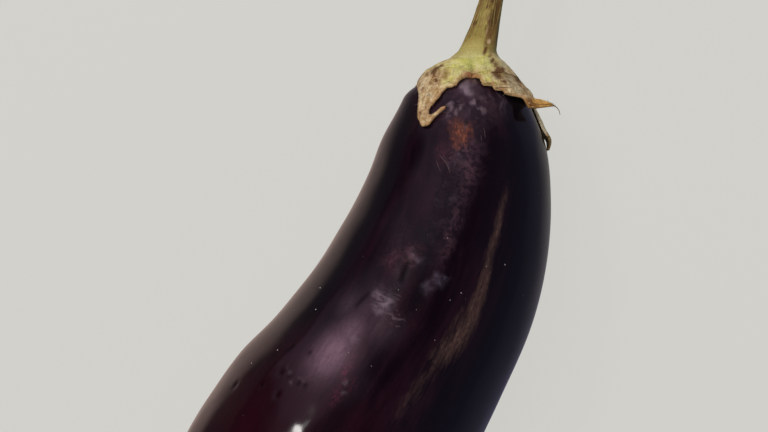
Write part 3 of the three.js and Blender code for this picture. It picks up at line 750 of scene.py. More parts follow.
# Soft round spots of the calyx, by name: angle, distance, size in millimetres, strength.
CALYX_MARKS = {
    # Brown stains; those round the hooked lobe's bend, at distances of 33 to 36, are painted shade.
    "stained": [
        (-38, 15.0, 0.85, 1.0), (-38, 17.4, 1.25, 1.0), (-39, 16.1, 0.9, 0.9), (-30, 20.9, 0.8, 0.9),
        (-48, 17.4, 0.8, 0.6), (-23, 18.5, 1.6, 0.5), (34, 12.2, 0.8, 1.0), (36, 14.3, 1.1, 0.7),
        (35, 17.2, 1.5, 1.0), (42, 16.4, 1.0, 1.0), (35, 19.0, 1.1, 1.0), (37, 21.8, 1.1, 0.8),
        (22, 7.3, 0.7, 0.9), (34, 9.2, 0.7, 0.6), (54, 23.0, 0.7, 0.7), (-34, 22.3, 0.7, 0.5),
        (-40, 24.0, 0.9, 0.55), (-38, 28.3, 0.7, 0.45), (-33, 26.3, 0.5, 0.5), (-32, 34.5, 0.7, 0.5),
        (64, 20, 1.5, 0.7), (-70, 18, 1.8, 0.8), (120, 24, 3, 0.8), (100, 16, 2, 0.7), (185, 28, 4, 0.7),
        (160, 18, 3, 0.7), (235, 30, 3, 0.7), (250, 20, 2.5, 0.8), (-31, 36.0, 1.6, 0.42),
        (-26, 35.4, 1.0, 0.45), (-36, 34.0, 0.8, 0.6), (-28, 21.0, 1.8, 0.32), (-22.5, 33.5, 0.6, 0.5),
        (-40, 31.0, 0.6, 0.45), (-34, 17.6, 1.7, 0.50), (-20, 18.2, 1.1, 0.45), (-52, 21.8, 1.4, 0.52)],
    "greened": [
        (3, 15.0, 1.1, 1.0), (0, 13.4, 2.0, 0.5), (-10, 16.6, 1.2, 0.4), (24, 14.0, 1.8, 0.4),
        (200, 13, 3, 0.6)],
    "yellowed": [
        (-16, 19.4, 2.0, 1.0), (-10, 17.0, 2.2, 1.0), (-20, 21.8, 1.5, 0.8), (16, 17.0, 2.0, 0.9),
        (22, 19.4, 2.2, 1.0), (28, 21.8, 1.5, 0.6)],
    "greyed": [
        (48, 20.2, 1.6, 1.0), (45, 18.6, 1.3, 0.7), (72, 17.8, 1.4, 0.9), (60, 19.5, 1.6, 0.6),
        (44, 23.5, 1.0, 0.5), (-44, 26.1, 1.0, 0.4), (110, 30, 3, 0.6), (175, 22, 3, 0.7), (240, 24, 3, 0.6)],
    # The raw orange-brown edge in the notches.
    "notch": [
        (-17.5, 32.3, 1.3, 0.40), (5, 17.6, 1.6, 1.0), (0, 18.6, 1.2, 0.6), (11, 18.4, 1.2, 0.6),
        (150, 18.5, 2, 0.7)],
    "paled": [
        (40, 23.6, 1.3, 0.5), (45, 25.0, 1.3, 0.7), (31, 18.6, 0.9, 0.5), (-33, 26.3, 0.9, 0.6),
        (66, 9.6, 1.5, 0.9), (62, 12.6, 1.8, 0.8), (-60, 22, 1.6, 0.6), (-47, 30, 1.4, 0.6),
        (-44, 26, 1.2, 0.5), (50, 24.5, 1.2, 0.6), (-27, 33, 1.3, 0.4), (57, 21.4, 1.1, 0.6)],
}
CALYX_FALL = 0.4  # how little a place's height counts beside its sideways distance, as on a steep side


def calyx_spots(points, spots):
    """The strongest of several soft round spots at points of the calyx."""
    strongest = np.zeros(points.shape[:-1])
    for angle, away, size, strength in spots:
        offset = points - over_pole(np.array([angle]), np.array([away]))[0][0]
        offset = offset * np.array([1, 1, CALYX_FALL])
        strongest = np.maximum(strongest, strength * np.exp(-np.sum(offset ** 2, axis=-1) / size ** 2))
    return strongest


def calyx_fields(degrees, distance, column):
    """What every point of the calyx carries: where it lies, and how strongly each marking shows there."""
    points = over_pole(degrees, distance)[0]
    marks = {name: calyx_spots(points, spots) for name, spots in CALYX_MARKS.items()}
    return {"turned": degrees - NOTCHES[0][0], "distance": distance, "across": 2 * column - 1, **marks}


def edge_nearness(inner, margin):
    """1 on a lobe's margin, falling to 0 about a millimetre inside it."""
    half_width = np.linalg.norm(inner[:, -1] - inner[:, 0], axis=-1)[:, None] / 2
    return np.exp(-(((1 - margin) * half_width / EDGE_WIDTH) ** 2))


def lobe_edge(grid):
    """The points of a lobe's grid that lie on its margin, from the left notch round to the right one."""
    return np.concatenate([grid[:, 0], grid[-1, 1:-1], grid[::-1, -1]])


def add_crown(solid, index):
    """Adds the crown over one lobe. Returns its outer points, and the numbers of its inner and outer ones."""
    inner, outer, degrees, distance, column = crown_pair(index)
    ridge = CROWN_RIDGE * np.cos(np.pi * np.abs(2 * column - 1)) * hump(7.5, 12, 15, 19, distance)
    outer = outer + grid_normals(outer) * (cork_relief(outer, 0, 0.5, distance) + ridge)[..., None]
    fields = calyx_fields(degrees, distance, column)
    return outer, solid.add(inner, inside=1, **fields), solid.add(outer, inside=0, **fields)


def lobe_faces(index):
    """The inner and outer points of one lobe, and what they carry."""
    inner, degrees, distance, row, column, mean_distance = lobe_rows(index)
    inner = toothed(inner, row, LOBES[index]["teeth"], FIRST_TEETH_SEED + index)
    margin = np.abs(2 * column - 1)
    thickness = crown_thickness(mean_distance) * (1 - MARGIN_THINNING * margin ** 3)
    thickness = thickness + (TIP_THICKNESS - thickness) * row ** 2
    relief = cork_relief(inner, row, column, distance) * rise(0, 0.08, row)
    outer = inner + softened(grid_normals(inner)) * (thickness + relief * (1 - margin ** 4))[..., None]
    fields = {**calyx_fields(degrees, distance, column), "edge": edge_nearness(inner, margin)}
    if LOBES[index] is FREE_LOBE:
        fields["tip"] = rise(0.66, 0.78, row)
        # Where painted shade lies at the base of the tip.
        fields["tip_base"] = hump(0.66, 0.74, 0.87, 0.95, row + 0.10 * column)
    if LOBES[index] is CURLED_LOBE:
        fields["cream"] = hump(0.15, 0.3, 0.64, 0.74, row)
        fields["olive"] = rise(0.64, 0.76, row)
    return inner, outer, fields


def add_rim(solid, inner_edge, outer_edge, outwards, inner_numbers, outer_numbers, fields):
    """Closes a lobe's margin with a rounded rim that thins out at both notches."""
    wide = np.linalg.norm(outer_edge - inner_edge, axis=1)[:, None]
    fades = np.minimum(1, np.arange(len(wide)) / 4)
    fades = np.minimum(fades, fades[::-1])[:, None]
    rim = [outer_numbers]
    for step in range(1, RIM_ROWS + 1):
        share = step / (RIM_ROWS + 1)
        bulge = RIM_BULGE * math.sin(math.pi * share) * wide * fades
        line = outer_edge + (inner_edge - outer_edge) * share + outwards * bulge
        rim.append(solid.add(line, inside=0.3, rim=1, **fields))
    rim.append(inner_numbers)
    rim = np.array(rim)
    rim[:-1, 0], rim[:-1, -1] = rim[0, 0], rim[0, -1]
    solid.sheet(rim)


def add_lobe(solid, index, inner_ring, outer_ring):
    """Adds one lobe to the crown's last rings. Returns its outer points, its margin and its tip."""
    inner, outer, fields = lobe_faces(index)
    places = (index * LOBE_COLUMNS + np.arange(LOBE_COLUMNS + 1)) % len(inner_ring)
    further = {name: values[1:] for name, values in fields.items()}
    inner_numbers = np.vstack([inner_ring[places], solid.add(inner[1:], inside=1, **further)])
    outer_numbers = np.vstack([outer_ring[places], solid.add(outer[1:], inside=0, **further)])
    solid.sheet(outer_numbers)
    solid.sheet(inner_numbers[:, ::-1])
    inner_edge, outer_edge = lobe_edge(inner), lobe_edge(outer)
    within = np.concatenate([outer[:, 1], outer[-2, 1:-1], outer[::-1, -2]])
    outwards = unit(outer_edge - within)
    edge_fields = {name: lobe_edge(values) for name, values in fields.items()}
    add_rim(solid, inner_edge, outer_edge, outwards, lobe_edge(inner_numbers), lobe_edge(outer_numbers),
            edge_fields)
    tip = (outer[-1] + inner[-1]).mean(0) / 2
    return outer, ((outer_edge + inner_edge) / 2, outwards), tip


def make_calyx(material, shift):
    """The calyx as one closed mesh, and what its small pieces grow on."""
    solid = Solid()
    grounds = {"faces": [], "margins": [], "tips": []}
    crown_inner, crown_outer = [], []
    for index in range(len(LOBES)):
        outer, inner_numbers, outer_numbers = add_crown(solid, index)
        crown_inner.append(inner_numbers)
        crown_outer.append(outer_numbers)
        grounds["faces"].append((outer[FLARE_ROWS:], grid_normals(outer)[FLARE_ROWS:]))
    inner_rings, outer_rings = np.hstack(crown_inner), np.hstack(crown_outer)
    solid.sheet(outer_rings, closed=True)
    solid.sheet(inner_rings[:, ::-1], closed=True)
    underside, normal = over_pole(0, 0.2)
    top = solid.add(stem_centre(np.array([CROWN_TOP])), distance=CROWN_RADIUS)[0]
    solid.fan(outer_rings[0][::-1], top, flat=True)
    solid.fan(inner_rings[0], solid.add((underside + normal * GAP)[None, :], inside=1)[0])
    for index in range(len(LOBES)):
        outer, (margin, outwards), tip = add_lobe(solid, index, inner_rings[-1], outer_rings[-1])
        grounds["faces"].append((outer[1:-4], grid_normals(outer)[1:-4]))
        grounds["margins"].append((margin[8:-8], outwards[8:-8]))
        grounds["tips"].append(tip)
    return solid.make("dried_calyx", material, shift), grounds


# ---------------------------------------------------------------- the stem

# Marks on the stem: height, angle, length, width, strength; sizes in millimetres.
STEM_BROWN_SPOTS = [(22.8, -10, 0.9, 0.9, 1.0), (20.0, 20, 2.8, 0.9, 1.0), (17.6, 24, 1.8, 0.8, 0.9),
                    (17.6, -55, 0.85, 0.9, 1.5), (10.2, 17, 0.6, 0.6, 1.2), (9.4, 22, 1.6, 1.3, 0.6),
                    (23.4, -42, 1.6, 0.7, 0.6), (21.0, -50, 1.2, 0.6, 0.55), (15.6, 2, 1.6, 0.4, 0.45),
                    (13.2, -30, 1.0, 0.6, 0.35), (11.6, -60, 0.9, 0.6, 0.5), (24.6, 8, 1.4, 1.2, 0.8),
                    (14.6, 40, 1.8, 0.7, 0.6), (9.6, -78, 1.2, 0.6, 0.5), (12.6, 30, 1.0, 0.7, 0.5),
                    (33, -30, 4, 1.6, 0.7), (38, 60, 5, 2, 0.7), (42, -100, 4, 2, 0.8), (30, 150, 6, 2, 0.8),
                    (20, 200, 5, 2, 0.7), (14, -120, 3, 1.6, 0.6), (36, 240, 4, 2, 0.6), (44, 10, 3, 2, 0.7)]
STEM_PINK_SPOTS = [(10.7, 29, 1.0, 0.8, 1.0), (14.6, 12, 2.8, 0.5, 0.5), (18.8, 6, 1.4, 0.5, 0.45)]


def stem_spots(height, degrees, spots):
    strongest = np.zeros(np.shape(height))
    for place, angle, length, width, strength in spots:
        sideways = np.radians((degrees - angle + 180) % 360 - 180) * stem_radius(height)
        near = np.exp(-(((height - place) / length) ** 2) - (sideways / width) ** 2)
        strongest = np.maximum(strongest, strength * near)
    return strongest


def bark_radius(height, degrees):
    """The stem's radius with its ridges."""
    angle = np.radians(degrees)
    ridges = STEM_RIDGES
    raised = rise(CROWN_TOP, CROWN_TOP + 6, height)
    turned = ridges["turn"] + ridges["twist"] * (height - CROWN_TOP)
    radius = stem_radius(height) + ridges["height"] * raised * np.cos(ridges["count"] * angle + turned)
    fine = FINE_RIDGES
    radius = radius + fine["height"] * raised * np.cos(
        fine["count"] * angle + fine["turn"] + fine["twist"] * height)
    uneven = random_waves(31, 3.2, 4 * np.cos(angle), 4 * np.sin(angle), height * 0.35)
    return radius + BARK_UNEVENNESS * raised * uneven


# The cut face, from its rim of bark over a ring of wood to the sunk pith: share of the radius, depth.
CUT_FACE = [(0.93, 0.02), (0.86, 0.16), (0.78, 0.2), (0.68, 0.14), (0.56, 0.18), (0.44, 0.42), (0.32, 0.62),
            (0.2, 0.7), (0.1, 0.72)]
CUT_ROUNDING = 0.5  # how far below the cut the bark rounds off
CUT_INSET = 0.25  # and by how much


def make_stem(material, shift):
    solid = Solid()
    row = np.arange(STEM_RINGS + 1)[:, None] / STEM_RINGS
    height = STEM_END + (CROWN_TOP - STEM_END) * row
    degrees = 360 * np.arange(STEM_SIDES)[None, :] / STEM_SIDES
    height, degrees = np.broadcast_arrays(height, degrees)
    rounded = np.where(height > STEM_END - CUT_ROUNDING, (STEM_END - height) / CUT_ROUNDING, 1)
    radius = bark_radius(height, degrees) - CUT_INSET * (1 - np.sqrt(np.clip(rounded, 0, 1)))
    rings = solid.add(stem_point(height, degrees, radius), height=height, turned=(degrees + 180) % 360 - 180,
                      browned=stem_spots(height, degrees, STEM_BROWN_SPOTS),
                      pink=stem_spots(height, degrees, STEM_PINK_SPOTS))
    solid.sheet(rings, closed=True)
    solid.fan(rings[-1], solid.add(stem_centre(np.array([CROWN_TOP])), height=CROWN_TOP)[0], flat=True)

    inwards, sunk = (np.array(column)[:, None] for column in zip(*CUT_FACE))
    end_radius = radius[:1] * inwards
    end_height = STEM_END - sunk + 0.04 * np.cos(17 * np.radians(degrees[:1])) * (inwards > 0.5)
    face = solid.add(stem_point(end_height, degrees[:1], end_radius), height=end_height, cut=1,
                     core=1 - inwards)
    solid.sheet(np.vstack([face[::-1], rings[:1]]), closed=True)
    middle = solid.add(stem_centre(np.array([STEM_END - CUT_FACE[-1][1]])), height=STEM_END, cut=1, core=1)[0]
    solid.fan(face[-1][::-1], middle)
    return solid.make("cut_stem", material, shift)


# ---------------------------------------------------------------- small pieces that repeat or follow a path


def new_tree(name, kind, inputs, outputs):
    """An empty node tree with named inputs, given with their kinds and values, and outputs."""
    tree = bpy.data.node_groups.new(name, kind)
    for socket_name, of_kind, value in inputs:
        socket = tree.interface.new_socket(socket_name, in_out="INPUT", socket_type="NodeSocket" + of_kind)
        if value is not None:
            socket.default_value = value
    for socket_name, of_kind in outputs:
        tree.interface.new_socket(socket_name, in_out="OUTPUT", socket_type="NodeSocket" + of_kind)
    return tree, tree.nodes.new("NodeGroupInput").outputs


def growing_tree(name, sizes):
    """A geometry tree that end_tree finishes, with named inputs for its sizes."""
    inputs = [("Geometry", "Geometry", None), *sizes, ("Material", "Material", None)]
    return new_tree(name, "GeometryNodeTree", inputs, [("Geometry", "Geometry")])


def end_tree(tree, given, geometry):
    """Ends a tree in Realize Instances and Set Material."""
    smooth = place_node(tree, "GeometryNodeSetShadeSmooth", {"Geometry": geometry})
    real = place_node(tree, "GeometryNodeRealizeInstances", {"Geometry": smooth.outputs[0]})
    finished = place_node(tree, "GeometryNodeSetMaterial", {
        "Geometry": real.outputs[0], "Material": given["Material"]})
    place_node(tree, "NodeGroupOutput", {0: finished.outputs[0]})
    return tree


def named_field(tree, name, kind="FLOAT"):
    return place_node(tree, "GeometryNodeInputNamedAttribute", {"Name": name}, data_type=kind).outputs[0]


def grains_tree():
    """A small round grain on every point, flattened along the point's own direction."""
    tree, given = growing_tree("grains on points", [
        ("Size", "Float", 0.0002), ("Flatness", "Float", 0.5), ("Uneven", "Float", 0.3), ("Seed", "Int", 1)])
    grain = place_node(tree, "GeometryNodeMeshIcoSphere", {"Radius": 1.0, "Subdivisions": 1})
    least = maths(tree, "SUBTRACT", 1.0, given["Uneven"])
    most = maths(tree, "ADD", 1.0, given["Uneven"])
    chance = place_node(tree, "FunctionNodeRandomValue", {2: least, 3: most, "Seed": given["Seed"]},
                        data_type="FLOAT")
    size = times(tree, named_field(tree, "size"), given["Size"], chance.outputs[1])
    facing = place_node(tree, "FunctionNodeAlignRotationToVector", {
        "Vector": named_field(tree, "facing", "FLOAT_VECTOR")}, axis="Z")
    grains = place_node(tree, "GeometryNodeInstanceOnPoints", {
        "Points": given["Geometry"], "Instance": grain.outputs[0], "Rotation": facing.outputs[0],
        "Scale": point_of(tree, size, size, times(tree, size, given["Flatness"]))})
    return end_tree(tree, given, grains.outputs[0])


def strands_tree():
    """A round strand along every line of points, as thick as each point says."""
    tree, given = growing_tree("strands on lines", [("Thickness", "Float", 0.0002), ("Sides", "Int", 5)])
    line = place_node(tree, "GeometryNodeMeshToCurve", {"Mesh": given["Geometry"]})
    section = place_node(tree, "GeometryNodeCurvePrimitiveCircle", {
        "Resolution": given["Sides"], "Radius": 1.0})
    thick = times(tree, named_field(tree, "size"), given["Thickness"])
    strand = place_node(tree, "GeometryNodeCurveToMesh", {
        "Curve": line.outputs[0], "Profile Curve": section.outputs[0], "Scale": thick, "Fill Caps": True})
    return end_tree(tree, given, strand.outputs[0])


def grow(name, tree, points, lines, fields, shift, inputs):
    """Runs a tree on loose points or lines and keeps its result as a plain mesh."""
    seeds = bpy.data.meshes.new(name + "_seeds")
    seeds.from_pydata((np.asarray(points) * MM + shift).tolist(), lines, [])
    for field_name, values in fields.items():
        values = np.asarray(values, np.float32)
        vector = values.ndim == 2
        attribute = seeds.attributes.new(field_name, "FLOAT_VECTOR" if vector else "FLOAT", "POINT")
        attribute.data.foreach_set("vector" if vector else "value", values.reshape(-1))
    grown = put_in_scene(name, seeds)
    modifier = grown.modifiers.new("grow", "NODES")
    modifier.node_group = tree
    for socket in tree.interface.items_tree:
        if socket.in_out == "INPUT" and socket.name in inputs:
            modifier[socket.identifier] = inputs[socket.name]
    evaluated = grown.evaluated_get(bpy.context.evaluated_depsgraph_get())
    mesh = bpy.data.meshes.new_from_object(evaluated)
    grown.modifiers.remove(modifier)
    grown.data = mesh
    bpy.data.meshes.remove(seeds)
    return grown


def grow_strands(name, tree, strands, sides, material, shift):
    """Strands given as pairs of a line of points and the thickness at each of them."""
    points = np.vstack([line for line, _ in strands])
    sizes = np.concatenate([thickness for _, thickness in strands])
    lines, first = [], 0
    for line, _ in strands:
        lines.extend((first + i, first + i + 1) for i in range(len(line) - 1))
        first += len(line)
    return grow(name, tree, points, lines, {"size": sizes}, shift,
                {"Thickness": MM, "Sides": sides, "Material": material})


def on_skin(along, degrees, above=0.0):
    """Points at a height above the finished skin, and the skin's outward normals there."""
    along, degrees = np.broadcast_arrays(np.asarray(along, float), np.asarray(degrees, float))
    angle, step = np.radians(degrees), 0.02
    lengthwise = skin_point(along + step, angle) - skin_point(along - step, angle)
    around = skin_point(along, angle + step) - skin_point(along, angle - step)
    normal = unit(np.cross(lengthwise, around))
    height = skin_relief(along, degrees) + above
    return skin_point(along, angle) + normal * height[..., None], normal


# Pale healed lines on the skin: places, and half the thickness in millimetres.
SKIN_LINES = [([(32.5, -17.0), (34.2, -13.8), (36.1, -11.0), (38.6, -9.0)], 0.16),
              ([(34.5, -18.6), (36.6, -16.8), (38.8, -14.6)], 0.08),
              ([(94.6, -13.0), (94.9, -11.4)], 0.06), ([(96.0, -11.8), (96.2, -9.9)], 0.06),
              ([(93.8, -9.8), (94.2, -8.3)], 0.05), ([(95.4, -8.8), (95.6, -7.1)], 0.06),
              ([(97.0, -10.0), (97.1, -8.6)], 0.05), ([(98.0, -11.0), (98.2, -9.4)], 0.05),
              ([(97.9, -8.0), (98.2, -6.8)], 0.05), ([(92.8, -11.6), (93.3, -10.4)], 0.05),
              ([(21.5, 11.5), (23.5, 12), (25.5, 12)], 0.06), ([(24, 9.0), (26, 9.8)], 0.06),
              ([(29, 2), (30.5, 3), (31, 4.5)], 0.06)]
# Grains of dust that lie on the skin: distance, angle, size.
DUST = [(98.8, -57, 1.0), (106.8, -49, 1.3), (110.3, -64, 0.6), (124.5, -51, 1.1), (132.6, -60, 1.1),
        (77.3, 14, 1.1), (66.4, 22.5, 0.8), (63.7, 33.5, 0.9), (81.0, 10, 0.7), (95.3, 12, 0.7),
        (89.6, -3, 0.7), (113.4, -7.5, 0.7), (113.6, -19.5, 0.8), (86.2, -15.2, 0.7), (62.1, -2.2, 0.8)]
FINE_DUST = 70
DUST_SIZE = 0.16 * MM
WARTS = 300
WART_SIZE = 0.30 * MM
MARGIN_HAIRS = 150
HAIR_LENGTHS = (0.4, 1.3)
HAIR_THICKNESS = (0.05, 0.10)
HAIR_SPREAD = 0.35
HAIR_ROOT = 0.25  # how deep a hair is rooted
HAIR_POINTS = 5
STEM_FIBRES = 22
FIBRE_THICKNESS = (0.14, 0.24)
FIBRE_POINTS = 70
FRAYED_ENDS = 44
FRAYED_POINTS = 5
# The dry bristle at the free lobe's tip, from the tip, in the frame's directions.
BRISTLE = [(-0.9, -0.1, 0.0), (0, 0, 0), (1.0, 0.0, 0.0), (1.95, -0.3, -0.1), (2.8, -0.85, -0.25),
           (3.4, -1.5, -0.5), (3.8, -2.2, -0.8)]
BRISTLE_THICKNESS = [0.30, 0.27, 0.20, 0.16, 0.14, 0.12, 0.10]


def make_skin_lines(tree, material, shift):
    strands = []
    for places, half in SKIN_LINES:
        numbers = np.arange(len(places))
        steps = np.linspace(0, len(places) - 1, 4 * len(places))
        along, degrees = (curve_through(list(zip(numbers, column)))(steps) for column in zip(*places))
        points, _ = on_skin(along, degrees, above=0.2 * half)
        taper = np.sqrt(np.sin(np.pi * (0.04 + 0.92 * np.linspace(0, 1, len(steps)))))
        strands.append((points, half * taper))
    return grow_strands("healed_lines", tree, strands, 6, material, shift)


def make_dust(tree, material, shift):
    generator = np.random.default_rng(70)
    along, degrees, size = zip(*DUST)
    along = np.concatenate([along, generator.uniform(25, 200, FINE_DUST)])
    degrees = np.concatenate([degrees, generator.uniform(-110, 110, FINE_DUST)])
    size = np.concatenate([size, generator.uniform(0.12, 0.30, FINE_DUST)])
    points, normals = on_skin(along, degrees, above=0.03)
    return grow("skin_dust", tree, points, [], {"size": size, "facing": normals}, shift,
                {"Size": DUST_SIZE, "Flatness": 0.7, "Uneven": 0.15, "Seed": 3, "Material": material})


def make_warts(tree, grounds, material, shift):
    """Small corky warts over the calyx's outer face."""
    generator = np.random.default_rng(71)
    points = np.vstack([p.reshape(-1, 3) for p, _ in grounds["faces"]])
    normals = np.vstack([n.reshape(-1, 3) for _, n in grounds["faces"]])
    chosen = generator.choice(len(points), WARTS, replace=False)
    size = generator.uniform(0.35, 1.0, WARTS) ** 1.5
    return grow("corky_warts", tree, points[chosen], [], {"size": size, "facing": normals[chosen]}, shift,
                {"Size": WART_SIZE, "Flatness": 0.45, "Uneven": 0.3, "Seed": 5, "Material": material})


def make_hairs(tree, grounds, material, shift):
    """Torn fibres along the calyx's margins, and the bristle at the free lobe's tip."""
    generator = np.random.default_rng(72)
    tip = grounds["tips"][LOBES.index(FREE_LOBE)]
    strands = [(tip + np.array(BRISTLE), np.array(BRISTLE_THICKNESS))]
    roots, outwards = (np.vstack(parts) for parts in zip(*grounds["margins"]))
    share = np.linspace(0, 1, HAIR_POINTS)[:, None]
    for place in generator.choice(len(roots), MARGIN_HAIRS, replace=False):
        length = generator.uniform(*HAIR_LENGTHS)
        direction = unit(outwards[place] + generator.normal(0, HAIR_SPREAD, 3))
        bend = generator.normal(0, HAIR_SPREAD, 3) * length
        line = roots[place] + direction * (share * length - HAIR_ROOT) + bend * share ** 2
        strands.append((line, np.linspace(1.0, 0.35, HAIR_POINTS) * generator.uniform(*HAIR_THICKNESS)))
    return grow_strands("calyx_hairs", tree, strands, 5, material, shift)


def long_fibres(generator):
    """Raised fibres that run along the stem."""
    for number in range(STEM_FIBRES):
        height = np.linspace(generator.uniform(11, 16), generator.uniform(40, STEM_END - 0.3), FIBRE_POINTS)
        start = 360 * (number + generator.uniform(-0.3, 0.3)) / STEM_FIBRES
        degrees = start + 5 * np.sin(height / generator.uniform(4, 7) + generator.uniform(0, 6))
        taper = np.sqrt(np.sin(np.pi * np.linspace(0.01, 0.99, FIBRE_POINTS)))
        half = generator.uniform(*FIBRE_THICKNESS) * taper
        yield stem_point(height, degrees, bark_radius(height, degrees) - 0.45 * half), half


def frayed_ends(generator):
    """Short fibre ends that stand up round the stem's cut."""
    for number in range(FRAYED_ENDS):
        angle = 360 * (number + generator.uniform(-0.4, 0.4)) / FRAYED_ENDS
        height = STEM_END - 0.5 + np.linspace(0, generator.uniform(0.7, 1.4), FRAYED_POINTS)
        lean = np.linspace(0, generator.uniform(-0.5, 0.5), FRAYED_POINTS)
        radius = bark_radius(STEM_END, angle) * 0.94 + lean
        yield stem_point(height, angle + 8 * lean, radius), np.linspace(0.13, 0.05, FRAYED_POINTS)


def make_stem_fibres(tree, material, shift):
    generator = np.random.default_rng(73)
    strands = [*long_fibres(generator), *frayed_ends(generator)]
    return grow_strands("stem_fibres", tree, strands, 5, material, shift)


# ---------------------------------------------------------------- materials


def place_node(tree, kind, inputs=None, **settings):
    """Adds a node; each input is a value or a socket to link from."""
    node = tree.nodes.new(kind)
    for name, value in settings.items():
        setattr(node, name, value)
    for name, value in (inputs or {}).items():
        socket = node.inputs[name]
        if isinstance(value, bpy.types.NodeSocket):
            tree.links.new(value, socket)
        else:
            socket.default_value = value
    return node


def number(tree, value):
    """A number or a socket as it is. A word stands for the number of that name that the mesh carries."""
    if isinstance(value, str):
        return place_node(tree, "ShaderNodeAttribute", attribute_name=value).outputs["Fac"]
    return value


def maths(tree, operation, first, second=0.0):
    inputs = {0: number(tree, first), 1: number(tree, second)}
    return place_node(tree, "ShaderNodeMath", inputs, operation=operation).outputs[0]


def plus(tree, first, second):
    return maths(tree, "ADD", first, second)


def larger(tree, first, second):
    return maths(tree, "MAXIMUM", first, second)


def times(tree, *values):
    product = number(tree, values[0])
    for value in values[1:]:
        product = maths(tree, "MULTIPLY", product, value)
    return product


def between(tree, value, low, high, to_low=0.0, to_high=1.0):
    """Runs smoothly from to_low to to_high while the value runs from low to high."""
    inputs = {"Value": number(tree, value), "From Min": low, "From Max": high,
              "To Min": to_low, "To Max": to_high}
    return place_node(tree, "ShaderNodeMapRange", inputs, interpolation_type="SMOOTHSTEP").outputs["Result"]


def eased(tree, share, least, most):
    """Runs smoothly from least to most while the share runs from 0 to 1."""
    return between(tree, share, 0, 1, least, most)


def swing(tree, noise, amount):
    """A noise that lies about 0.5, as a swing of so much about 0."""
    return times(tree, maths(tree, "SUBTRACT", noise, 0.5), amount)


def ragged(tree, mark, noise, amount):
    """A mark whose soft edge is made uneven by a noise."""
    uneven = times(tree, swing(tree, noise, amount), between(tree, mark, 0.0, 0.2))
    return plus(tree, mark, uneven)


def layer(tree, share, under, over):
    """A colour laid over another where the share is 1."""
    inputs = {0: number(tree, share), 6: under, 7: over}
    return place_node(tree, "ShaderNodeMix", inputs, data_type="RGBA").outputs[2]


def value_layer(tree, share, under, over):
    return place_node(tree, "ShaderNodeMix", {0: share, 2: under, 3: over}, data_type="FLOAT").outputs[0]


def point_of(tree, x, y, z):
    return place_node(tree, "ShaderNodeCombineXYZ", {0: number(tree, x), 1: number(tree, y),
                                                     2: number(tree, z)}).outputs[0]


def scaled(tree, vector, factors):
    return place_node(tree, "ShaderNodeVectorMath", {0: vector, 1: factors}, operation="MULTIPLY").outputs[0]


def pattern_group(name, numbers, draw):
    """A shader group that draws a pattern's mask and height at a vector, from numbers with these defaults."""
    inputs = [("Vector", "Vector", None), *((word, "Float", value) for word, value in numbers.items())]
    group, given = new_tree(name, "ShaderNodeTree", inputs, [("Mask", "Float"), ("Height", "Float")])
    mask, height = draw(group, given)
    place_node(group, "NodeGroupOutput", {"Mask": mask, "Height": height})
    return group


def noise_at(group, given, vector, roughness, distortion=0.0):
    return place_node(group, "ShaderNodeTexNoise", {
        "Vector": vector, "Scale": given["Scale"], "Detail": given["Detail"], "Roughness": roughness,
        "Distortion": distortion}).outputs["Fac"]


def draw_streaks(group, given):
    """Fibres or stripes that run along the Z of the vector."""
    stretched = scaled(group, given["Vector"], point_of(group, 1.0, 1.0, given["Stretch"]))
    height = noise_at(group, given, stretched, 0.6)
    return between(group, height, given["Low"], given["High"]), height


def draw_blotches(group, given):
    """Uneven patches with ragged edges."""
    height = noise_at(group, given, given["Vector"], 0.62, distortion=0.6)
    return between(group, height, given["Low"], given["High"]), height


def draw_cracks(group, given):
    """Thin wandering lines, sunk."""
    off_line = maths(group, "ABSOLUTE", maths(
        group, "SUBTRACT", noise_at(group, given, given["Vector"], 0.5, distortion=0.4), 0.5))
    mask = between(group, off_line, given["Width"], 0.0)
    return mask, maths(group, "MULTIPLY", mask, -1.0)


def draw_pores(group, given):
    """Small round pits or specks."""
    cells = place_node(group, "ShaderNodeTexVoronoi", {
        "Vector": given["Vector"], "Scale": given["Scale"], "Randomness": 1.0})
    mask = between(group, maths(group, "DIVIDE", cells.outputs["Distance"], given["Size"]), 1.0, 0.4)
    return mask, maths(group, "MULTIPLY", mask, -1.0)


STREAKS = pattern_group("lengthwise streaks", {"Scale": 1.0, "Stretch": 0.1, "Detail": 4.0, "Low": 0.4,
                                               "High": 0.6}, draw_streaks)
BLOTCHES = pattern_group("blotches", {"Scale": 1.0, "Detail": 5.0, "Low": 0.45, "High": 0.6}, draw_blotches)
PORES = pattern_group("pores", {"Scale": 1.0, "Size": 0.2}, draw_pores)
CRACKS = pattern_group("cracks", {"Scale": 1.0, "Detail": 3.0, "Width": 0.03}, draw_cracks)


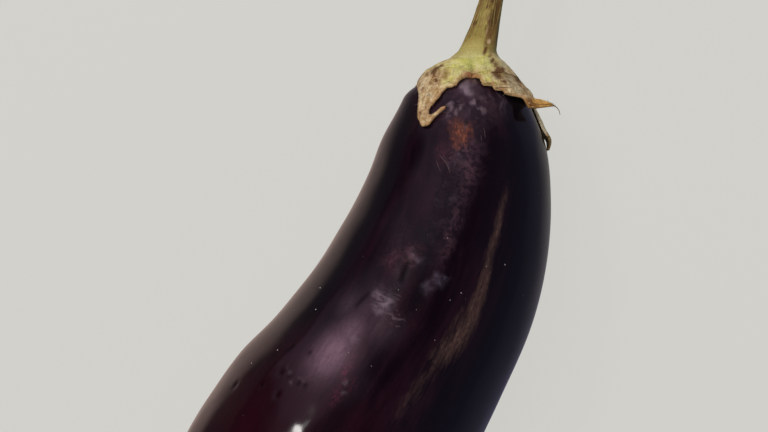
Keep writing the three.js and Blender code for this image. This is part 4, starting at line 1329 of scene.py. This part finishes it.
class Finish:
    """One material in the making. Its colour and its relief are built up layer by layer."""

    def __init__(self, name, lay_out, **plain):
        """lay_out gives the points that patterns lie on; plain values go to the shader's inputs by name."""
        self.material = bpy.data.materials.new(name)
        self.material.use_nodes = True
        self.tree = self.material.node_tree
        self.shader = self.tree.nodes["Principled BSDF"]
        for socket, value in plain.items():
            self.shader.inputs[socket.replace("_", " ")].default_value = value
        self.place = lay_out(self.tree)
        self.colour = None
        self.relief = None

    def pattern(self, group, place=None, **inputs):
        inputs["Vector"] = self.place if place is None else place
        return place_node(self.tree, "ShaderNodeGroup", inputs, node_tree=group).outputs

    def blotches(self, scale, low, high, detail=5.0):
        return self.pattern(BLOTCHES, Scale=scale, Detail=detail, Low=low, High=high)

    def streaks(self, scale, stretch, low, high, detail=4.0, place=None):
        return self.pattern(STREAKS, place, Scale=scale, Stretch=stretch, Detail=detail, Low=low, High=high)

    def pores(self, scale, size):
        return self.pattern(PORES, Scale=scale, Size=size)

    def cracks(self, scale, detail, width):
        return self.pattern(CRACKS, Scale=scale, Detail=detail, Width=width)

    def lay(self, colour, *shares):
        """Lays a colour over the ones below where the product of the shares is 1."""
        self.colour = layer(self.tree, times(self.tree, *shares), self.colour, colour)

    def raise_by(self, *shares):
        """Raises the surface by the product of the shares, in millimetres."""
        height = times(self.tree, *shares)
        self.relief = height if self.relief is None else plus(self.tree, self.relief, height)

    def connect(self, socket, value):
        self.tree.links.new(value, self.shader.inputs[socket])

    def done(self):
        bump = place_node(self.tree, "ShaderNodeBump", {
            "Height": self.relief, "Distance": MM, "Strength": 1.0})
        self.connect("Base Color", self.colour)
        self.connect("Normal", bump.outputs["Normal"])
        return self.material


def straightened(tree):
    """The skin laid out as a straight round bar, in millimetres, so that streaks follow the bent fruit."""
    return point_of(tree, "above", "across", "along")


def round_bar(tree):
    """The stem laid out as a straight round bar, in millimetres."""
    turn = times(tree, "turned", math.radians(1))
    return point_of(tree, times(tree, maths(tree, "SINE", turn), STEM_BAR_RADIUS),
                    times(tree, maths(tree, "COSINE", turn), STEM_BAR_RADIUS), "height")


def in_millimetres(tree):
    return scaled(tree, place_node(tree, "ShaderNodeTexCoord").outputs["Object"], (1000, 1000, 1000))


# Colours of the skin.
NIGHT_PURPLE = (0.0048, 0.0012, 0.0036, 1)
WINE = (0.0165, 0.0040, 0.0088, 1)
SIDE_SHADE_INK = (0.0034, 0.0020, 0.0056, 1)
GREENISH_BLACK = (0.0040, 0.0040, 0.0052, 1)
NECK_PURPLE = (0.125, 0.066, 0.090, 1)
DULL_PINK = (0.115, 0.052, 0.074, 1)
GREY_LILAC_AND_SHEEN = (0.086, 0.053, 0.071, 1)
PALE_LILAC_AND_HIGHLIGHT = (0.26, 0.185, 0.235, 1)
BUMP_HIGHLIGHT_LILAC = (0.165, 0.112, 0.135, 1)
BLUE_HIGHLIGHT_TINT = (0.108, 0.083, 0.126, 1)
PAINTED_HAZE_MAUVE = (0.292, 0.172, 0.232, 1)
CRIMSON = (0.085, 0.012, 0.028, 1)
RUSSET_BROWN = (0.085, 0.047, 0.044, 1)
RUSSET_PALE = (0.170, 0.102, 0.082, 1)
SCAR_BROWN = (0.130, 0.048, 0.038, 1)
SCAR_ORANGE = (0.30, 0.088, 0.050, 1)
CHEEK_RED = (0.020, 0.0022, 0.0056, 1)
FOLD_SHADE_BLACK = (0.002, 0.0008, 0.0012, 1)


def colour_ground(skin, clouds):
    """Near-black purple with wine-red stripes, greener or redder in places, painted blue-black shade on the
    sides turned from the light, and violet at the neck.
    """
    tree = skin.tree
    wine = skin.streaks(0.16, 0.09, 0.40, 0.66, detail=6.0)
    skin.colour = layer(tree, wine["Mask"], NIGHT_PURPLE, WINE)
    skin.lay(GREENISH_BLACK, "green_black", 0.85)
    # Painted shade on the fruit's right side and on its neck's left side.
    skin.lay(SIDE_SHADE_INK, "inky")
    skin.lay(CHEEK_RED, "cheek", between(tree, wine["Height"], 0.25, 0.6, 0.55, 1.0))
    skin.lay(NECK_PURPLE, "violet", between(tree, clouds["Height"], 0.3, 0.65, 0.35, 1.0), 0.42)


def colour_mottles(skin, fibres, clouds, grain):
    """The mottled trail, the crimson mottles, lilac mottles that are partly painted sheen, the painted haze
    highlight, the painted highlights on the bumps, pale patches that are partly painted highlights, and the
    painted blue highlight.
    """
    tree = skin.tree
    trail_blots = skin.blotches(0.62, 0.40, 0.60, detail=7.0)
    skin.lay(DULL_PINK, "trail", eased(tree, trail_blots["Mask"], 0.12, 1.0), 0.75)
    # Lilac-grey mottles, partly a painted sheen of broken-up reflection on the ridge.
    skin.lay(GREY_LILAC_AND_SHEEN, "mottled", eased(tree, clouds["Mask"], 0.25, 1.0),
             eased(tree, grain["Mask"], 0.35, 1.0), 0.65)
    skin.lay(CRIMSON, "red", skin.blotches(1.1, 0.42, 0.58, detail=3.0)["Mask"], 0.9)
    # Painted highlight: the soft haze of reflected light on the ridge, laid as pale mauve.
    skin.lay(PAINTED_HAZE_MAUVE, "bloom", between(tree, fibres["Height"], 0.25, 0.75, 0.7, 1.0),
             between(tree, grain["Height"], 0.30, 0.55, 0.78, 1.0), 0.95)
    # Painted highlights on the crests of the low bumps below the notch.
    pebbled = ragged(tree, "pebbled", skin.blotches(0.55, 0.3, 0.7)["Height"], 0.7)
    skin.lay(BUMP_HIGHLIGHT_LILAC, between(tree, pebbled, 0.08, 0.80),
             between(tree, grain["Height"], 0.30, 0.60, 0.55, 0.9))
    pale_blots = skin.blotches(0.55, 0.34, 0.58)
    # Pale patches, partly painted highlights on the pits' rims and over the wrinkled patch.
    skin.lay(PALE_LILAC_AND_HIGHLIGHT, "pale", eased(tree, pale_blots["Mask"], 0.3, 1.0), 0.7)
    # Painted highlight: the smear of bluish reflected light.
    blue_blots = skin.blotches(0.45, 0.34, 0.60)
    skin.lay(BLUE_HIGHLIGHT_TINT, "blue", eased(tree, blue_blots["Mask"], 0.35, 1.0), 0.7)


def colour_russet(skin, grain):
    """The fibrous brown stripe. Returns how strongly it shows and its fibres."""
    tree = skin.tree
    fibres = skin.streaks(1.0, 0.16, 0.34, 0.62)
    russet = times(tree, between(tree, ragged(tree, "russet", fibres["Height"], 0.7), 0.12, 0.85),
                   eased(tree, fibres["Mask"], 0.70, 1.0),
                   between(tree, grain["Height"], 0.35, 0.60, 0.6, 1.0))
    pale_fibres = skin.streaks(1.6, 0.2, 0.46, 0.68)
    brown = layer(tree, times(tree, pale_fibres["Mask"], 0.7), RUSSET_BROWN, RUSSET_PALE)
    skin.lay(brown, russet, 0.82)
    return russet, fibres


def colour_scar(skin):
    """The rough orange-brown scar below the calyx. Returns how strongly it shows and its stripes."""
    tree = skin.tree
    stripes = skin.streaks(0.8, 0.30, 0.38, 0.62)
    uneven = ragged(tree, "scar", skin.blotches(0.5, 0.3, 0.7)["Height"], 1.1)
    scar = times(tree, between(tree, uneven, 0.08, 0.95), eased(tree, stripes["Mask"], 0.55, 1.0))
    skin.lay(layer(tree, skin.streaks(1.3, 0.35, 0.45, 0.65)["Mask"], SCAR_BROWN, SCAR_ORANGE), scar, 0.95)
    return scar, stripes


def colour_wrinkles(skin):
    """Fine wrinkles with painted highlights on their crests. Returns their height."""
    tree = skin.tree
    flattened = scaled(tree, skin.place, (1.0, 0.55, 1.0))
    waves = place_node(tree, "ShaderNodeTexWave", {
        "Vector": flattened, "Scale": 0.16, "Distortion": 16.0, "Detail": 3.0, "Detail Scale": 0.9},
        wave_type="BANDS", bands_direction="Z").outputs["Fac"]
    wrinkles = times(tree, waves, "wrinkled")
    # Painted highlights on the wrinkles' crests.
    skin.lay(PALE_LILAC_AND_HIGHLIGHT, between(tree, wrinkles, 0.45, 0.85), 0.22)
    return wrinkles


def gloss_skin(skin, scar, russet):
    """A waxy gloss that the scar, the russet and the folds lack, and the patch of painted haze highlight
    nearly lacks.
    """
    tree = skin.tree
    corky = larger(tree, scar, russet)
    roughness = value_layer(tree, skin.blotches(0.12, 0.35, 0.7)["Mask"], 0.36, 0.44)
    skin.connect("Roughness", value_layer(tree, corky, roughness, 0.55))
    dull = larger(tree, corky, times(tree, "bloom", 0.75))
    dull = larger(tree, dull, "folded")
    skin.connect("Coat Weight", value_layer(tree, dull, 0.9, 0.12))


def ripe_skin():
    skin = Finish("ripe eggplant skin", straightened, IOR=1.45, Specular_IOR_Level=0.06, Coat_Roughness=0.12,
                  Coat_IOR=1.45, Specular_Tint=(1.0, 0.72, 0.88, 1))
    fibres = skin.streaks(0.9, 0.13, 0.35, 0.70)
    clouds = skin.blotches(0.22, 0.42, 0.64, detail=6.0)
    grain = skin.blotches(0.9, 0.40, 0.66, detail=6.0)
    colour_ground(skin, clouds)
    colour_mottles(skin, fibres, clouds, grain)
    russet, russet_fibres = colour_russet(skin, grain)
    scar, scar_stripes = colour_scar(skin)
    wrinkles = colour_wrinkles(skin)
    skin.lay(GREY_LILAC_AND_SHEEN, skin.pores(0.28, 0.05)["Mask"], 0.30)
    # Painted shade in the bottoms of the folds and pits.
    skin.lay(FOLD_SHADE_BLACK, "folded", 0.95)
    gloss_skin(skin, scar, russet)
    skin.raise_by(fibres["Height"], 0.035)
    skin.raise_by(wrinkles, 0.14)
    skin.raise_by("mottled", clouds["Height"], 0.12)
    skin.raise_by("mottled", grain["Height"], 0.06)
    skin.raise_by(scar, scar_stripes["Height"], 0.12)
    skin.raise_by(russet, russet_fibres["Height"], 0.10)
    return skin.done()


# Colours of the calyx.
TAN = (0.47, 0.290, 0.115, 1)
PALE_CORK = (0.87, 0.665, 0.39, 1)
PINK_CORK = (0.70, 0.46, 0.29, 1)
STRIPE_BROWN = (0.34, 0.19, 0.075, 1)
STREAK_CREAM = (0.88, 0.74, 0.54, 1)
FLECK_BROWN = (0.26, 0.14, 0.05, 1)
FLECK_CREAM = (0.86, 0.74, 0.55, 1)
FADED_STRAW = (0.84, 0.76, 0.52, 1)
STRAW_GREEN = (0.80, 0.75, 0.20, 1)
PALE_STRAW = (0.92, 0.84, 0.40, 1)
LEAF_GREEN = (0.26, 0.34, 0.09, 1)
BLOTCH_BROWN = (0.125, 0.048, 0.017, 1)
STAIN_BROWN = (0.27, 0.128, 0.043, 1)
SPECK_BROWN = (0.20, 0.12, 0.06, 1)
CUT_ORANGE = (0.45, 0.15, 0.07, 1)
EDGE_TAN = (0.50, 0.26, 0.105, 1)
CREAM = (0.80, 0.68, 0.48, 1)
TIP_DARK = (0.20, 0.058, 0.010, 1)
TIP_ORANGE = (0.80, 0.44, 0.12, 1)
TIP_CREAM = (0.90, 0.66, 0.34, 1)
TIP_BASE_SHADE = (0.115, 0.034, 0.012, 1)
OLD_GREY = (0.27, 0.25, 0.16, 1)
CURL_OLIVE = (0.28, 0.22, 0.085, 1)
UNDERSIDE_SHADE_BROWN = (0.20, 0.13, 0.06, 1)
# Colours of the stem; the calyx takes them on round its foot.
STEM_OLIVE = (0.31, 0.240, 0.056, 1)
STEM_YELLOW = (0.50, 0.410, 0.120, 1)
STEM_GOLD = (0.42, 0.30, 0.085, 1)
STEM_TAN = (0.40, 0.27, 0.12, 1)
STEM_BROWN = (0.185, 0.088, 0.030, 1)
STEM_DARK_BROWN = (0.085, 0.038, 0.013, 1)
STEM_SHADE_GREEN = (0.095, 0.090, 0.038, 1)
STEM_PINK = (0.66, 0.46, 0.30, 1)
STEM_STRAW = (0.56, 0.47, 0.16, 1)
CUT_WOOD = (0.45, 0.33, 0.16, 1)
CUT_PITH = (0.24, 0.14, 0.06, 1)
STEM_BAR_RADIUS = 4.5
FAN_SPREAD = 0.35  # millimetres for each degree round the stem, in the calyx's fanned streaks
TIP_WIDTH = 3.4  # the same for the striped tip: millimetres from its middle line to its margin
TIP_SPREAD = 0.06  # and for each degree


def straw_colour(calyx):
    """The yellow-green of the crown."""
    colour = layer(calyx.tree, calyx.blotches(0.22, 0.40, 0.62, detail=4.0)["Mask"], STRAW_GREEN, PALE_STRAW)
    tint = calyx.blotches(0.40, 0.55, 0.72, detail=4.0)
    return layer(calyx.tree, times(calyx.tree, tint["Mask"], 0.30), colour, LEAF_GREEN)


def colour_cork(calyx, patches, pink, stripes, flecks, fan):
    """The dry corky ground: tan and pale patches, fine streaks that fan out from the stem, flecks."""
    tree = calyx.tree
    calyx.colour = layer(tree, patches["Mask"], TAN, PALE_CORK)
    calyx.lay(PINK_CORK, pink["Mask"], 0.65)
    calyx.lay(STRIPE_BROWN, stripes["Mask"], 0.45)
    calyx.lay(STREAK_CREAM, calyx.streaks(0.55, 0.10, 0.52, 0.62, detail=3.0, place=fan)["Mask"], 0.5)
    calyx.lay(FLECK_BROWN, flecks["Mask"], 0.40)
    calyx.lay(FLECK_CREAM, calyx.blotches(0.7, 0.58, 0.68)["Mask"], 0.5)
    calyx.lay(OLD_GREY, "greyed", between(tree, pink["Height"], 0.35, 0.55, 0.3, 1.0), 0.8)


def colour_green(calyx, patches, pink):
    """The part still green: round the stem and over the two lobes in front. Returns how green it is."""
    tree = calyx.tree
    uneven = plus(tree, "distance", swing(tree, patches["Height"], 12.0))
    wandering = plus(tree, "turned", swing(tree, pink["Height"], 60.0))
    from_middle = maths(tree, "ABSOLUTE", maths(tree, "SUBTRACT", wandering, 91.0))
    green = larger(tree, times(tree, between(tree, uneven, 18.5, 13.5),
                                         between(tree, from_middle, 44.0, 26.0, 0.35, 1.0)),
                  times(tree, "yellowed", 0.8))
    calyx.lay(straw_colour(calyx), green)
    calyx.lay(LEAF_GREEN, "greened", 0.65)
    return green


def colour_collar(calyx, patches):
    """The collar round the stem's foot, in the stem's own colours, with painted shade in dark green on the
    side turned from the light.
    """
    tree = calyx.tree
    collar_colour = layer(tree, times(tree, patches["Mask"], 0.5), STEM_STRAW, STEM_YELLOW)
    browned = times(tree, between(tree, "turned", 100.0, 114.0), between(tree, "turned", 150.0, 136.0))
    collar_colour = layer(tree, times(tree, browned, 0.60), collar_colour, STEM_BROWN)
    # Painted shade on the side turned from the light.
    shaded_side = times(tree, between(tree, "turned", 136.0, 150.0), between(tree, "turned", 250.0, 210.0), 0.8)
    collar_colour = layer(tree, shaded_side, collar_colour, STEM_SHADE_GREEN)
    uneven = plus(tree, "distance", swing(tree, patches["Height"], 10.0))
    calyx.lay(collar_colour, between(tree, uneven, 11.6, 6.2))


def colour_stains(calyx, stain_edges, specks, green):
    """Brown stains with lighter edges, partly painted shade at the hooked lobe's bend, and brown mottles and
    specks on the old parts.
    """
    tree = calyx.tree
    halo = times(tree, "stained", eased(tree, stain_edges["Mask"], 0.5, 1.0))
    calyx.lay(STAIN_BROWN, between(tree, halo, 0.05, 0.45, 0.0, 0.55))
    calyx.lay(BLOTCH_BROWN, between(tree, halo, 0.35, 0.70, 0.0, 0.85))
    old = times(tree, between(tree, "distance", 11.0, 18.0), eased(tree, green, 1.0, 0.25))
    calyx.lay(STAIN_BROWN, calyx.blotches(0.55, 0.56, 0.70)["Mask"], old, 0.55)
    calyx.lay(SPECK_BROWN, specks["Mask"], old, 0.45)


def colour_edges(calyx, edge, stripes):
    """The tan margins, the raw notches, and the curled lobe's cream side and olive end."""
    tree = calyx.tree
    calyx.lay(EDGE_TAN, edge, 0.60)
    calyx.lay(CUT_ORANGE, "notch", eased(tree, edge, 0.75, 1.0))
    calyx.lay(CREAM, "cream", eased(tree, edge, 0.65, 1.0))
    calyx.lay(CURL_OLIVE, "olive", eased(tree, stripes["Mask"], 0.8, 0.4))


def colour_tip(calyx, edge):
    """The free lobe's orange striped tip, cream along its upper edge, with painted shade in dark brown at its
    base.
    """
    tree = calyx.tree
    along_tip = point_of(tree, times(tree, "across", TIP_WIDTH), 0.0, times(tree, "turned", TIP_SPREAD))
    stripes = calyx.streaks(0.9, 0.3, 0.40, 0.56, detail=2.0, place=along_tip)
    colour = layer(tree, stripes["Mask"], TIP_DARK, TIP_ORANGE)
    colour = layer(tree, times(tree, edge, between(tree, "across", -0.3, 0.5), 0.7), colour, TIP_CREAM)
    base = times(tree, "tip_base", between(tree, "across", 0.3, -0.5), 0.70)
    calyx.lay(layer(tree, base, colour, TIP_BASE_SHADE), "tip")


def dried_calyx():
    calyx = Finish("dried calyx", in_millimetres, IOR=1.42, Specular_IOR_Level=0.35)
    tree = calyx.tree
    fan = point_of(tree, times(tree, "turned", FAN_SPREAD), 0.0, "distance")
    patches = calyx.blotches(0.32, 0.42, 0.56, detail=7.0)
    pink = calyx.blotches(0.42, 0.50, 0.64, detail=4.0)
    stripes = calyx.streaks(1.0, 0.14, 0.44, 0.62, place=fan)
    flecks = calyx.blotches(1.1, 0.55, 0.66, detail=4.0)
    stain_edges = calyx.blotches(0.9, 0.30, 0.55, detail=6.0)
    specks = calyx.pores(0.8, 0.17)
    cracks = calyx.cracks(0.35, 5.0, 0.022)
    aged = between(tree, "distance", 10.0, 17.0, 0.1, 0.55)
    edge = larger(tree, "edge", "rim")

    colour_cork(calyx, patches, pink, stripes, flecks, fan)
    green = colour_green(calyx, patches, pink)
    colour_collar(calyx, patches)
    calyx.lay(FADED_STRAW, "paled", between(tree, flecks["Height"], 0.3, 0.6, 0.5, 1.0))
    calyx.lay(BLOTCH_BROWN, cracks["Mask"], aged)
    colour_stains(calyx, stain_edges, specks, green)
    colour_edges(calyx, edge, stripes)
    colour_tip(calyx, edge)
    # Painted shade on the faces turned to the fruit and, more faintly, on the rims.
    calyx.lay(UNDERSIDE_SHADE_BROWN, "inside", 0.6)
    calyx.connect("Roughness", value_layer(tree, green, 0.80, 0.58))
    calyx.raise_by(patches["Height"], 0.30)
    calyx.raise_by(stain_edges["Height"], 0.25)
    calyx.raise_by(stripes["Height"], 0.40)
    calyx.raise_by(specks["Height"], 0.10)
    calyx.raise_by(cracks["Height"], aged, 0.16)
    return calyx.done()


def colour_bark(stem, fibres, tan, fine, spots):
    """Olive and yellow bark, golden at the bottom, with brown fibres and blots."""
    tree = stem.tree
    stem.colour = layer(tree, fibres["Mask"], STEM_OLIVE, STEM_YELLOW)
    stem.lay(STEM_TAN, tan["Mask"], 0.6)
    low = between(tree, plus(tree, "height", times(tree, fibres["Height"], 3.0)), 17.0, 13.0)
    stem.lay(STEM_GOLD, low, between(tree, tan["Height"], 0.40, 0.58, 0.2, 0.75))
    stem.lay(STEM_OLIVE, stem.blotches(0.30, 0.50, 0.62)["Mask"], 0.55)
    stem.lay(STEM_BROWN, fine["Mask"], 0.35)
    stem.lay(STEM_BROWN, spots["Mask"], 0.38)


def colour_sides(stem, fibres, tan, spots):
    """Brown along the right side and the left, painted shade in dark green on the side turned from the light,
    and brown towards the old end.
    """
    tree = stem.tree
    wander = plus(tree, "turned", swing(tree, tan["Height"], 90.0))
    stem.lay(STEM_BROWN, between(tree, wander, 2.0, 18.0), between(tree, wander, 66.0, 48.0),
             between(tree, "height", 6.8, 10.8), between(tree, fibres["Height"], 0.35, 0.60, 0.95, 0.55))
    from_foot = plus(tree, "height", times(tree, spots["Height"], 6.0))
    stem.lay(STEM_DARK_BROWN, between(tree, wander, 14.0, 24.0), between(tree, wander, 46.0, 34.0),
             between(tree, from_foot, 17.0, 20.5), 0.8)
    old_end = between(tree, plus(tree, "height", times(tree, fibres["Height"], 8.0)), 24.5, 30.0)
    end_blots = stem.blotches(0.5, 0.40, 0.60)
    stem.lay(STEM_BROWN, old_end, eased(tree, end_blots["Mask"], 0.35, 0.85))
    stem.lay(STEM_BROWN, between(tree, wander, -32.0, -58.0), between(tree, "height", 9.0, 19.0), 0.72)
    # Painted shade on the side turned from the light.
    stem.lay(STEM_SHADE_GREEN, between(tree, wander, 46.0, 66.0), between(tree, wander, 165.0, 120.0),
             between(tree, "height", 8.3, 9.0), 0.85)


def colour_stem_marks(stem, fibres, spots, specks):
    """The brown and pink spots, the dark specks, the straw-coloured foot and the cut face."""
    tree = stem.tree
    browned = times(tree, "browned", between(tree, spots["Height"], 0.3, 0.5, 0.55, 1.0))
    stem.lay(STEM_BROWN, between(tree, browned, 0.12, 0.5, 0.0, 0.6))
    stem.lay(STEM_DARK_BROWN, between(tree, browned, 0.45, 0.85, 0.0, 0.85))
    stem.lay(STEM_PINK, between(tree, "pink", 0.15, 0.75, 0.0, 0.9))
    stem.lay(STEM_DARK_BROWN, specks["Mask"], 0.6)
    uneven = plus(tree, "height", swing(tree, fibres["Height"], 5.0))
    stem.lay(STEM_STRAW, between(tree, uneven, 12.5, 8.4), between(tree, "turned", 26.0, 4.0, 0.2, 0.85))
    stem.lay(layer(tree, between(tree, "core", 0.35, 0.62), CUT_WOOD, CUT_PITH), "cut")


def green_stem():
    stem = Finish("green stem", round_bar, IOR=1.42, Roughness=0.58, Specular_IOR_Level=0.35)
    fibres = stem.streaks(0.75, 0.12, 0.36, 0.62, detail=5.0)
    tan = stem.streaks(0.42, 0.35, 0.44, 0.60, detail=5.0)
    fine = stem.streaks(2.2, 0.10, 0.50, 0.66, detail=3.0)
    spots = stem.blotches(0.9, 0.50, 0.64)
    specks = stem.pores(0.5, 0.13)
    colour_bark(stem, fibres, tan, fine, spots)
    colour_sides(stem, fibres, tan, spots)
    colour_stem_marks(stem, fibres, spots, specks)
    stem.raise_by(fibres["Height"], 0.3)
    stem.raise_by(spots["Height"], 0.2)
    stem.raise_by(fine["Height"], 0.15)
    stem.raise_by(specks["Height"], 0.06)
    return stem.done()


# Finishes of the small pieces: two colours, scale of the mottles, roughness.
SMALL_FINISHES = {
    "healed skin": ((0.085, 0.055, 0.065, 1), (0.15, 0.10, 0.105, 1), 0.5, 0.5),
    "pale dust": ((0.70, 0.66, 0.62, 1), (0.85, 0.82, 0.78, 1), 1.0, 0.8),
    "warty cork": ((0.42, 0.28, 0.15, 1), (0.66, 0.50, 0.32, 1), 0.6, 0.8),
    "dry bristle": ((0.10, 0.075, 0.05, 1), (0.24, 0.18, 0.12, 1), 0.7, 0.7),
    "stem fibre": ((0.24, 0.17, 0.05, 1), (0.46, 0.38, 0.13, 1), 0.25, 0.6),
}


def small_finish(name):
    """A plain two-tone finish for a small piece, mottled through its own body."""
    under, over, scale, roughness = SMALL_FINISHES[name]
    finish = Finish(name, in_millimetres, IOR=1.42, Roughness=roughness, Specular_IOR_Level=0.3)
    mottles = finish.blotches(scale, 0.40, 0.60, detail=3.0)
    finish.colour = layer(finish.tree, mottles["Mask"], under, over)
    finish.raise_by(mottles["Height"], 0.05)
    return finish.done()


# ---------------------------------------------------------------- stage, light and camera

VIEW_TURN = math.radians(20)
VIEW_RIGHT = Vector((math.cos(VIEW_TURN), math.sin(VIEW_TURN), 0))
VIEW_UP = Vector((-math.sin(VIEW_TURN), math.cos(VIEW_TURN), 0))
CAMERA_PLACE = Vector((-0.01120, 0.02491, 0.7847))
CAMERA_LENS = 100
SENSOR_WIDTH = 36
LIT_PLACE = Vector((0, 0, 0.045))  # what the lights shine on

# The paper: as the camera sees it, as light all round, in itself, and then as the fruit's gloss mirrors it.
PAPER = (0.637, 0.631, 0.597)
PAPER_GLOW = 0.925  # the share of that colour that the floor gives off; the lights add the rest
PAPER_AROUND = (0.40, 0.395, 0.37, 1)
PAPER_COLOUR = (0.075, 0.0745, 0.07, 1)
PAPER_DARK = (0.006, 0.004, 0.012, 1)
PAPER_BLUE_SHADE = (0.070, 0.066, 0.125, 1)
PAPER_BESIDE_STEM = (0.22, 0.20, 0.20, 1)
PAPER_WARM = (0.465, 0.33, 0.295, 1)
PAPER_HALF = 4.0
# The room: as the fruit's gloss mirrors it, and last as light all round.
ROOM_DIM = (0.036, 0.031, 0.050, 1)
ROOM_DARK = (0.014, 0.010, 0.018, 1)
ROOM_LILAC = (0.28, 0.22, 0.30, 1)
ROOM_BLUE = (0.075, 0.075, 0.125, 1)
ROOM_AROUND = (0.18, 0.178, 0.17, 1)


def towards(right, up, height):
    """A direction given by the view's right and up, and by height over the table."""
    return (VIEW_RIGHT * right + VIEW_UP * up + Vector((0, 0, height))).normalized()


def make_camera():
    camera = put_in_scene("camera", bpy.data.cameras.new("camera"))
    camera.data.lens = CAMERA_LENS
    camera.data.sensor_width = SENSOR_WIDTH
    camera.location = CAMERA_PLACE
    camera.rotation_euler = (0, 0, VIEW_TURN)
    bpy.context.scene.camera = camera


def softbox(name, direction, distance, size, radiance, tint, in_gloss):
    """An oval soft light that shines on the fruit. Its longer side leans with the line to the zenith."""
    light = bpy.data.lights.new(name, "AREA")
    light.shape = "ELLIPSE"
    light.size, light.size_y = size
    light.color = tint
    light.energy = radiance * math.pi * math.pi * size[0] * size[1] / 4
    lamp = put_in_scene(name, light)
    lamp.location = LIT_PLACE + direction * distance
    lamp.rotation_mode = "QUATERNION"
    lamp.rotation_quaternion = direction.to_track_quat("Z", "Y")
    lamp.visible_glossy = in_gloss


def make_lights():
    softbox("window", towards(-0.42, 0.74, 0.54), 1.3, (0.50, 0.40), 2.2, (1.0, 0.93, 0.97), in_gloss=False)
    softbox("lamp", towards(-0.466, 0.354, 0.82), 1.3, (0.28, 0.21), 26, (1.0, 0.97, 0.93), in_gloss=True)
    softbox("room", towards(-0.10, 0.25, 0.95), 1.6, (1.1, 1.1), 3.4, (1.0, 0.985, 0.95), in_gloss=False)


def along_direction(tree, vector, direction):
    return place_node(tree, "ShaderNodeVectorMath", {0: vector, 1: tuple(direction)},
                      operation="DOT_PRODUCT").outputs["Value"]


def view_places(tree, coordinates):
    """How far to the view's right, and how far up in it, each point or direction lies."""
    place = place_node(tree, "ShaderNodeTexCoord").outputs[coordinates]
    return along_direction(tree, place, VIEW_RIGHT), along_direction(tree, place, VIEW_UP)


def by_viewer(tree, in_gloss, around, seen):
    """One colour for the fruit's gloss, one for the light all round and one for the camera."""
    path = place_node(tree, "ShaderNodeLightPath")
    colour = layer(tree, path.outputs["Is Glossy Ray"], around, in_gloss)
    return layer(tree, path.outputs["Is Camera Ray"], colour, seen)


def make_world():
    """A dim room, lighter beyond the stem. The camera sees the pale paper instead."""
    world = bpy.data.worlds.new("room")
    bpy.context.scene.world = world
    world.use_nodes = True
    tree = world.node_tree
    tree.nodes.clear()
    rightwards, upwards = view_places(tree, "Generated")
    lit = times(tree, between(tree, upwards, 0.35, 0.62), between(tree, rightwards, -0.80, -0.62),
                between(tree, rightwards, 0.65, 0.2))
    room = layer(tree, between(tree, rightwards, -0.2, -0.6), ROOM_DIM, ROOM_DARK)
    room = layer(tree, lit, room, ROOM_LILAC)
    room = layer(tree, between(tree, rightwards, 0.45, 0.8), room, ROOM_BLUE)
    colour = by_viewer(tree, room, ROOM_AROUND, (*PAPER, 1))
    background = place_node(tree, "ShaderNodeBackground", {"Color": colour})
    place_node(tree, "ShaderNodeOutputWorld", {"Surface": background.outputs[0]})


def pale_paper():
    """Paper whose far part fades in the skin's reflection, and whose right part lies in blue shade."""
    material = bpy.data.materials.new("pale paper")
    material.use_nodes = True
    tree = material.node_tree
    tree.nodes.clear()
    rightwards, upwards = view_places(tree, "Object")
    shade = layer(tree, between(tree, rightwards, -0.08, 0.06), PAPER_DARK, PAPER_BLUE_SHADE)
    beside = times(tree, between(tree, rightwards, 0.0, 0.05), between(tree, rightwards, 0.16, 0.08),
                   between(tree, upwards, -0.06, 0.06), between(tree, upwards, 0.085, 0.062))
    shade = layer(tree, beside, shade, PAPER_BESIDE_STEM)
    lit = times(tree, between(tree, rightwards, -0.172, -0.108), between(tree, rightwards, 0.050, -0.012),
                between(tree, upwards, 0.108, 0.045))
    mirrored = layer(tree, lit, shade, PAPER_WARM)
    glow = by_viewer(tree, mirrored, PAPER_AROUND, (*(PAPER_GLOW * part for part in PAPER), 1))
    emission = place_node(tree, "ShaderNodeEmission", {"Color": glow})
    paper = place_node(tree, "ShaderNodeBsdfDiffuse", {"Color": PAPER_COLOUR})
    both = place_node(tree, "ShaderNodeAddShader", {0: emission.outputs[0], 1: paper.outputs[0]})
    place_node(tree, "ShaderNodeOutputMaterial", {"Surface": both.outputs[0]})
    return material


def make_floor():
    mesh = bpy.data.meshes.new("paper")
    half = PAPER_HALF
    corners = [(-half, -half, 0), (half, -half, 0), (half, half, 0), (-half, half, 0)]
    mesh.from_pydata(corners, [], [(0, 1, 2, 3)])
    mesh.materials.append(pale_paper())
    put_in_scene("paper", mesh)


def carry(piece, node=None):
    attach(piece, "root")
    if node:
        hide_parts(node)


def main():
    bpy.context.scene.view_settings.view_transform = "Standard"
    make_camera()
    make_lights()
    make_world()
    make_floor()
    shift = part_shift()
    carry(make_fruit(ripe_skin(), shift), "fruit")
    calyx, grounds = make_calyx(dried_calyx(), shift)
    carry(calyx, "calyx")
    carry(make_stem(green_stem(), shift), "stem")

    grains, strands = grains_tree(), strands_tree()
    healed, dust, cork, bristle, fibre = (small_finish(name) for name in SMALL_FINISHES)
    carry(make_skin_lines(strands, healed, shift))
    carry(make_dust(grains, dust, shift))
    carry(make_warts(grains, grounds, cork, shift))
    carry(make_hairs(strands, grounds, bristle, shift))
    carry(make_stem_fibres(strands, fibre, shift))


main()
